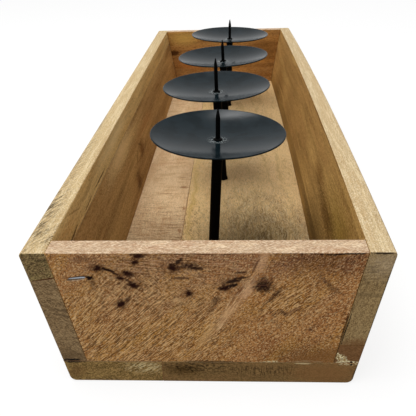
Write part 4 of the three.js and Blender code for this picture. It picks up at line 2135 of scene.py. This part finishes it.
    def build(
        self,
        coat: bpy.types.Material,
        bar: bpy.types.Material,
        zinc: bpy.types.Material,
    ) -> list[Piece]:
        """Model the holder's four pieces and dress them.

        Args:
            coat: Finish of the dish.
            bar: Finish of the post and the spike.
            zinc: Finish of the screw.

        Returns:
            The post, dish, spike and screw.
        """
        label = f"holder_{self.number}"
        parts = {
            "post": (self.post_form(), None, bar, "black_metal"),
            "dish": (self.dish_form(), self.head_placement, coat, "black_metal"),
            "spike": (self.spike_form(), self.head_placement, bar, "black_metal"),
            "screw": (self.screw_form(), self.placement, zinc, "screw_steel"),
        }
        for part, (piece, placement, finish, slot) in parts.items():
            if placement is not None:
                piece.matrix_world = placement
                settle(piece, f"{label}_{part}_form")
            piece.data.materials.append(finish)
            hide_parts(f"{label}_{part}")
        return [piece for piece, *_ in parts.values()]


@dataclass
class Trough:
    """The boards of the trough, with the glue between them.

    Attributes:
        joinery: How the boards are made.
        brads: The brads whose holes are bored.
        holders: The holders whose screws pass through the base.
        glue_setback: How far the glue lies back from the faces.
        glue_room: Room left beside the glue.
        lead: How far a brad's hole starts outside the board.
        finishes: The materials that were built, by name.
    """

    joinery: Joinery
    brads: Brads
    holders: list[Holder]
    glue_setback: float = 0.15 * MM
    glue_room: float = 0.02 * MM
    lead: float = 2 * MM
    finishes: dict[str, bpy.types.Material] = field(default_factory=dict)

    @property
    def form(self) -> TroughForm:
        """The trough's form."""
        return self.joinery.form

    def finish(self, wood: Wood) -> bpy.types.Material:
        """Build a finish's material, or take it if it was built before.

        Args:
            wood: The finish.

        Returns:
            Its material.
        """
        if wood.name not in self.finishes:
            self.finishes[wood.name] = wood.material()
        return self.finishes[wood.name]

    def base_plans(self) -> list[Board]:
        """Plan the two boards of the base.

        Returns:
            The narrow board's plan and the wide one's.
        """
        form, gap = self.form, self.form.glue / 2
        return [
            Board(
                "base_narrow_board", "narrow_base", "base_wood",
                between(lambda z: form.outer(-1, z), lambda z: form.base_seam - gap, 0, form.base),
                (Side.LEFT, Side.BOTTOM),
                faces(
                    top=NARROW_FLOOR, bottom=UNDERSIDE, left=LEFT_OUTSIDE, right=UNDERSIDE,
                    front=NARROW_BASE_END, back=NARROW_BASE_END,
                ),
            ),
            Board(
                "base_wide_board", "wide_base", "base_wood",
                between(lambda z: form.base_seam + gap, lambda z: form.outer(1, z), 0, form.base),
                (Side.RIGHT, Side.BOTTOM),
                faces(
                    top=WIDE_FLOOR, bottom=UNDERSIDE, left=UNDERSIDE, right=RIGHT_OUTSIDE,
                    front=WIDE_BASE_END, back=WIDE_BASE_END,
                ),
                bowed=True,
            ),
        ]

    def side_plans(self) -> list[Board]:
        """Plan the two boards of each side.

        Returns:
            The plans, the left side's first.
        """
        form, gap = self.form, self.form.glue / 2
        floor, top = (form.floor, form.floor), (form.height, form.height)
        left, rise, right = form.left_seam, form.seam_rise, form.right_seam
        return [
            Board(
                "left_side_board", "left_board", "side_wood",
                form.side_corners(-1, floor, (left - gap, left - gap + rise)),
                (Side.LEFT,),
                faces(
                    left=LEFT_OUTSIDE, right=LEFT_INSIDE, top=LEFT_EDGE, bottom=LEFT_INSIDE,
                    front=LEFT_BOARD_END, back=LEFT_BOARD_END,
                ),
            ),
            Board(
                "left_side_top_strip", "left_strip", "strip_wood",
                form.side_corners(-1, (left + gap, left + gap + rise), top),
                (Side.LEFT, Side.TOP),
                faces(
                    left=LEFT_STRIP_OUTSIDE, right=LEFT_STRIP_INSIDE,
                    top=LEFT_EDGE, bottom=LEFT_STRIP_INSIDE,
                    front=LEFT_STRIP_END, back=LEFT_STRIP_END,
                ),
            ),
            Board(
                "right_side_low_strip", "right_strip", "strip_wood",
                form.side_corners(1, floor, (right - gap, right - gap)),
                (Side.RIGHT,),
                faces(
                    left=RIGHT_STRIP_INSIDE, right=RIGHT_STRIP_OUTSIDE,
                    top=RIGHT_STRIP_INSIDE, bottom=RIGHT_STRIP_INSIDE,
                    front=RIGHT_STRIP_END, back=RIGHT_STRIP_END,
                ),
                bowed=True,
            ),
            Board(
                "right_side_board", "right_board", "side_wood",
                form.side_corners(1, (right + gap, right + gap), top),
                (Side.RIGHT, Side.TOP),
                faces(
                    left=RIGHT_INSIDE, right=RIGHT_OUTSIDE, top=SIDE_EDGE, bottom=RIGHT_INSIDE,
                    front=RIGHT_BOARD_END, back=RIGHT_BOARD_END,
                ),
                bowed=True,
            ),
        ]

    def panel_plans(self) -> list[Board]:
        """Plan the two end panels.

        Returns:
            The front panel's plan and the back one's.
        """
        form = self.form
        half, inside = form.length / 2, form.length / 2 - form.panel
        corners = between(
            lambda z: form.inner(-1, z) + form.glue,
            lambda z: form.inner(1, z) - form.glue,
            form.floor,
            form.height,
        )
        hidden = faces(top=PANEL_EDGE, bottom=PANEL_FACE, left=PANEL_FACE, right=PANEL_FACE)
        return [
            Board(
                "front_panel", "front_board", "panel_wood", corners, (Side.TOP,),
                faces(front=FRONT_FACE, back=PANEL_FACE) | hidden, True, (-half, -inside),
            ),
            Board(
                "back_panel", "back_board", "panel_wood", corners, (Side.TOP,),
                faces(front=BACK_INSIDE, back=PANEL_FACE) | hidden, True, (inside, half),
            ),
        ]

    def bore(self, boards: Sequence[Piece]) -> None:
        """Bore every board for the brads and screws that pass through it.

        Args:
            boards: The boards.
        """
        hole = self.brads.pattern("hole", self.brads.clearance, self.brads.sink + self.lead, 24)
        placements = self.brads.placements()
        holes = [copy_to(hole, f"hole_{name}", place) for name, place in placements.items()]
        holes += [holder.pilot() for holder in self.holders]
        discard(hole)
        take(*holes)
        bpy.ops.object.join()
        cutter = bpy.context.object
        for board in boards:
            cut(board, cutter)
        discard(cutter)

    def glue_lines(self) -> list[Piece]:
        """The films of glue that show in the seams between boards.

        Returns:
            The films.
        """
        form, back, room = self.form, self.glue_setback, self.glue_room
        half = form.length / 2 - back
        film = form.glue / 2 - room
        seams = {
            "glue_left_seam": (-1, form.left_seam - film, form.left_seam + film, form.seam_rise),
            "glue_right_seam": (1, form.right_seam - film, form.right_seam + film, 0.0),
            "glue_left_foot": (-1, form.base + room, form.floor - room, 0.0),
            "glue_right_foot": (1, form.base + room, form.floor - room, 0.0),
        }
        base_left, base_right = form.base_seam - film, form.base_seam + film
        base_film = between(lambda z: base_left, lambda z: base_right, back, form.base - back)
        made = [block("glue_base", base_film, (-half, half))]
        for name, (hand, low, high, rise) in seams.items():
            corners = form.side_corners(hand, (low, low + rise), (high, high + rise))
            inset = [(x + back * side, z) for (x, z), side in zip(corners, (1, -1, -1, 1))]
            made.append(block(name, inset, (-half, half)))
            if hand > 0:
                self.joinery.bend(made[-1], (-half, half))
        return made

    def build(self) -> list[Piece]:
        """Make, bore and dress the boards and the glue lines.

        Returns:
            The boards and the films of glue.
        """
        plans = self.base_plans() + self.side_plans() + self.panel_plans()
        sawn = {plan.node: self.joinery.saw(plan) for plan in plans}
        self.bore(list(sawn.values()))
        split = self.brads.split_cutter()
        cut(sawn["front_panel"], split)
        discard(split)
        for plan in plans:
            piece = sawn[plan.node]
            finishes = {side: self.finish(wood) for side, wood in plan.faces.items()}
            self.joinery.dress(piece, finishes)
            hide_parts(plan.node)
        films = self.glue_lines()
        for film in films:
            film.data.materials.append(self.finish(GLUE))
        return [*sawn.values(), *films]


@dataclass
class Studio:
    """Floor, light and camera.

    Attributes:
        camera_place: Where the camera stands.
        yaw: Its turn to the right, in degrees.
        pitch: Its tilt down, in degrees.
        roll: Its roll, in degrees.
        lens: Its lens in mm.
        sensor: Its sensor's width in mm.
        floor_tone: Colour of the floor as the tray sees it.
        shadow_tone: Colour that the tray's shadow takes from the floor as the camera sees it.
        floor_glow: Strength of the white that the camera sees on the floor.
        soft_light: Strength of the light round the tray.
    """

    camera_place: Place = (0.01425, -0.538, 0.249)
    yaw: float = -3.31
    pitch: float = 28.9
    roll: float = -1.97
    lens: float = 46.13
    sensor: float = 36.0
    floor_tone: str = "#b8b8b6"
    shadow_tone: str = "#7c7c7c"
    floor_glow: float = 0.82
    soft_light: float = 0.5

    def camera(self) -> None:
        """Stand the camera at the photograph's viewing angle."""
        yaw, pitch, roll = (math.radians(a) for a in (self.yaw, self.pitch, self.roll))
        across = math.cos(pitch)
        ahead = Vector((math.sin(yaw) * across, math.cos(yaw) * across, -math.sin(pitch)))
        level = Vector((math.cos(yaw), -math.sin(yaw), 0))
        above = level.cross(ahead)
        right = level * math.cos(roll) + above * math.sin(roll)
        up = above * math.cos(roll) - level * math.sin(roll)
        turned = Matrix((right, up, -ahead)).transposed().to_4x4()
        data = bpy.data.cameras.new("camera")
        data.lens, data.sensor_width = self.lens, self.sensor
        data.clip_start, data.clip_end = 0.01, 50
        camera = bpy.data.objects.new("camera", data)
        camera.matrix_world = Matrix.Translation(self.camera_place) @ turned
        bpy.context.scene.collection.objects.link(camera)
        bpy.context.scene.camera = camera

    def floor(self) -> None:
        """Lay a plain pale floor that keeps the tray's shadow."""
        take()
        bpy.ops.mesh.primitive_plane_add(size=14, location=(0, 2, 0))
        floor = settle(bpy.context.object, "studio_floor")
        graph = Graph.of_material("studio_floor")
        plain = graph.add("ShaderNodeBsdfDiffuse", {"Color": paint(self.floor_tone)})
        shadow = graph.add("ShaderNodeBsdfDiffuse", {"Color": paint(self.shadow_tone)})
        glow = graph.add("ShaderNodeEmission", {"Color": WHITE, "Strength": self.floor_glow})
        lit = graph.add("ShaderNodeAddShader", {0: shadow.outputs[0], 1: glow.outputs[0]})
        shaders = {0: graph.seen(), 1: plain.outputs[0], 2: lit.outputs[0]}
        mixed = graph.add("ShaderNodeMixShader", shaders)
        graph.add("ShaderNodeOutputMaterial", {"Surface": mixed.outputs[0]})
        floor.data.materials.append(graph.owner)

    def world(self) -> None:
        """Surround the tray with soft light that looks white to the camera and in reflections."""
        world = bpy.data.worlds.new("studio")
        bpy.context.scene.world = world
        graph = Graph(world)
        soft = graph.add("ShaderNodeBackground", {"Color": WHITE, "Strength": self.soft_light})
        white = graph.add("ShaderNodeBackground", {"Color": WHITE, "Strength": 1.0})
        shaders = {0: graph.seen(), 1: soft.outputs[0], 2: white.outputs[0]}
        mixed = graph.add("ShaderNodeMixShader", shaders)
        graph.add("ShaderNodeOutputWorld", {"Surface": mixed.outputs[0]})

    def lamp(self, name: str, place: Place, size: float, watts: float, mirrored: bool) -> None:
        """Hang a square lamp that looks at the tray.

        Args:
            name: Name of the lamp.
            place: Where it hangs.
            size: Its width.
            watts: Its power.
            mirrored: Whether only reflections show it, or else only soft light.
        """
        data = bpy.data.lights.new(name, "AREA")
        data.size, data.energy = size, watts
        lamp = bpy.data.objects.new(name, data)
        turned = (-Vector(place)).to_track_quat("-Z", "Y").to_matrix().to_4x4()
        lamp.matrix_world = Matrix.Translation(place) @ turned
        lamp.visible_glossy, lamp.visible_diffuse = mirrored, not mirrored
        bpy.context.scene.collection.objects.link(lamp)

    def build(self) -> None:
        """Set up the floor, light and camera."""
        self.floor()
        self.world()
        self.lamp("key", (-0.4, -0.3, 1.8), size=1.5, watts=28, mirrored=False)
        self.lamp("window", (-0.05, 0.62, 0.93), size=0.12, watts=0.75, mirrored=True)
        self.camera()
        bpy.context.scene.view_settings.view_transform = "Standard"


def holders_of(form: TroughForm) -> list[Holder]:
    """The four holders, each a little different because they were made by hand.

    Args:
        form: The form of the trough in which they stand.

    Returns:
        The holders, from the front.
    """
    return [
        Holder(form, 1, along=1.2 * MM, foot=-1.3 * MM, lean=3.4, head_lean=1.4, reach=24 * MM),
        Holder(form, 2, along=2.8 * MM, foot=4.3 * MM, lean=-3.0, head_lean=-0.7, reach=31 * MM),
        Holder(form, 3, along=0.4 * MM, foot=6.2 * MM, lean=-1.5, head_lean=-1.5, reach=23.5 * MM),
        Holder(form, 4, along=0.9 * MM, foot=7.5 * MM, lean=2.0, head_lean=1.0, reach=24.7 * MM),
    ]


def report(pieces: Sequence[Piece]) -> None:
    """Ride each piece on the tray and report it.

    Args:
        pieces: The pieces.
    """
    for piece in pieces:
        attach(piece, "root")
        LOG.info("%s: %d faces", piece.name, len(piece.data.polygons))


def main() -> None:
    """Build the tray and its studio."""
    logging.basicConfig(level=logging.INFO, format="%(name)s: %(message)s")
    form = TroughForm.of_frame()
    holders = holders_of(form)
    brads = Brads(form)
    trough = Trough(Joinery(form), brads, holders)
    report(trough.build())
    report(brads.build(BRAD_WIRE.material()))
    coat = BLACK_COAT.material([holder.weld_place for holder in holders])
    bar, zinc = BLACK_BAR.material(), SCREW_ZINC.material()
    for holder in holders:
        report(holder.build(coat, bar, zinc))
    Studio().build()


if __name__ == "__main__":
    main()
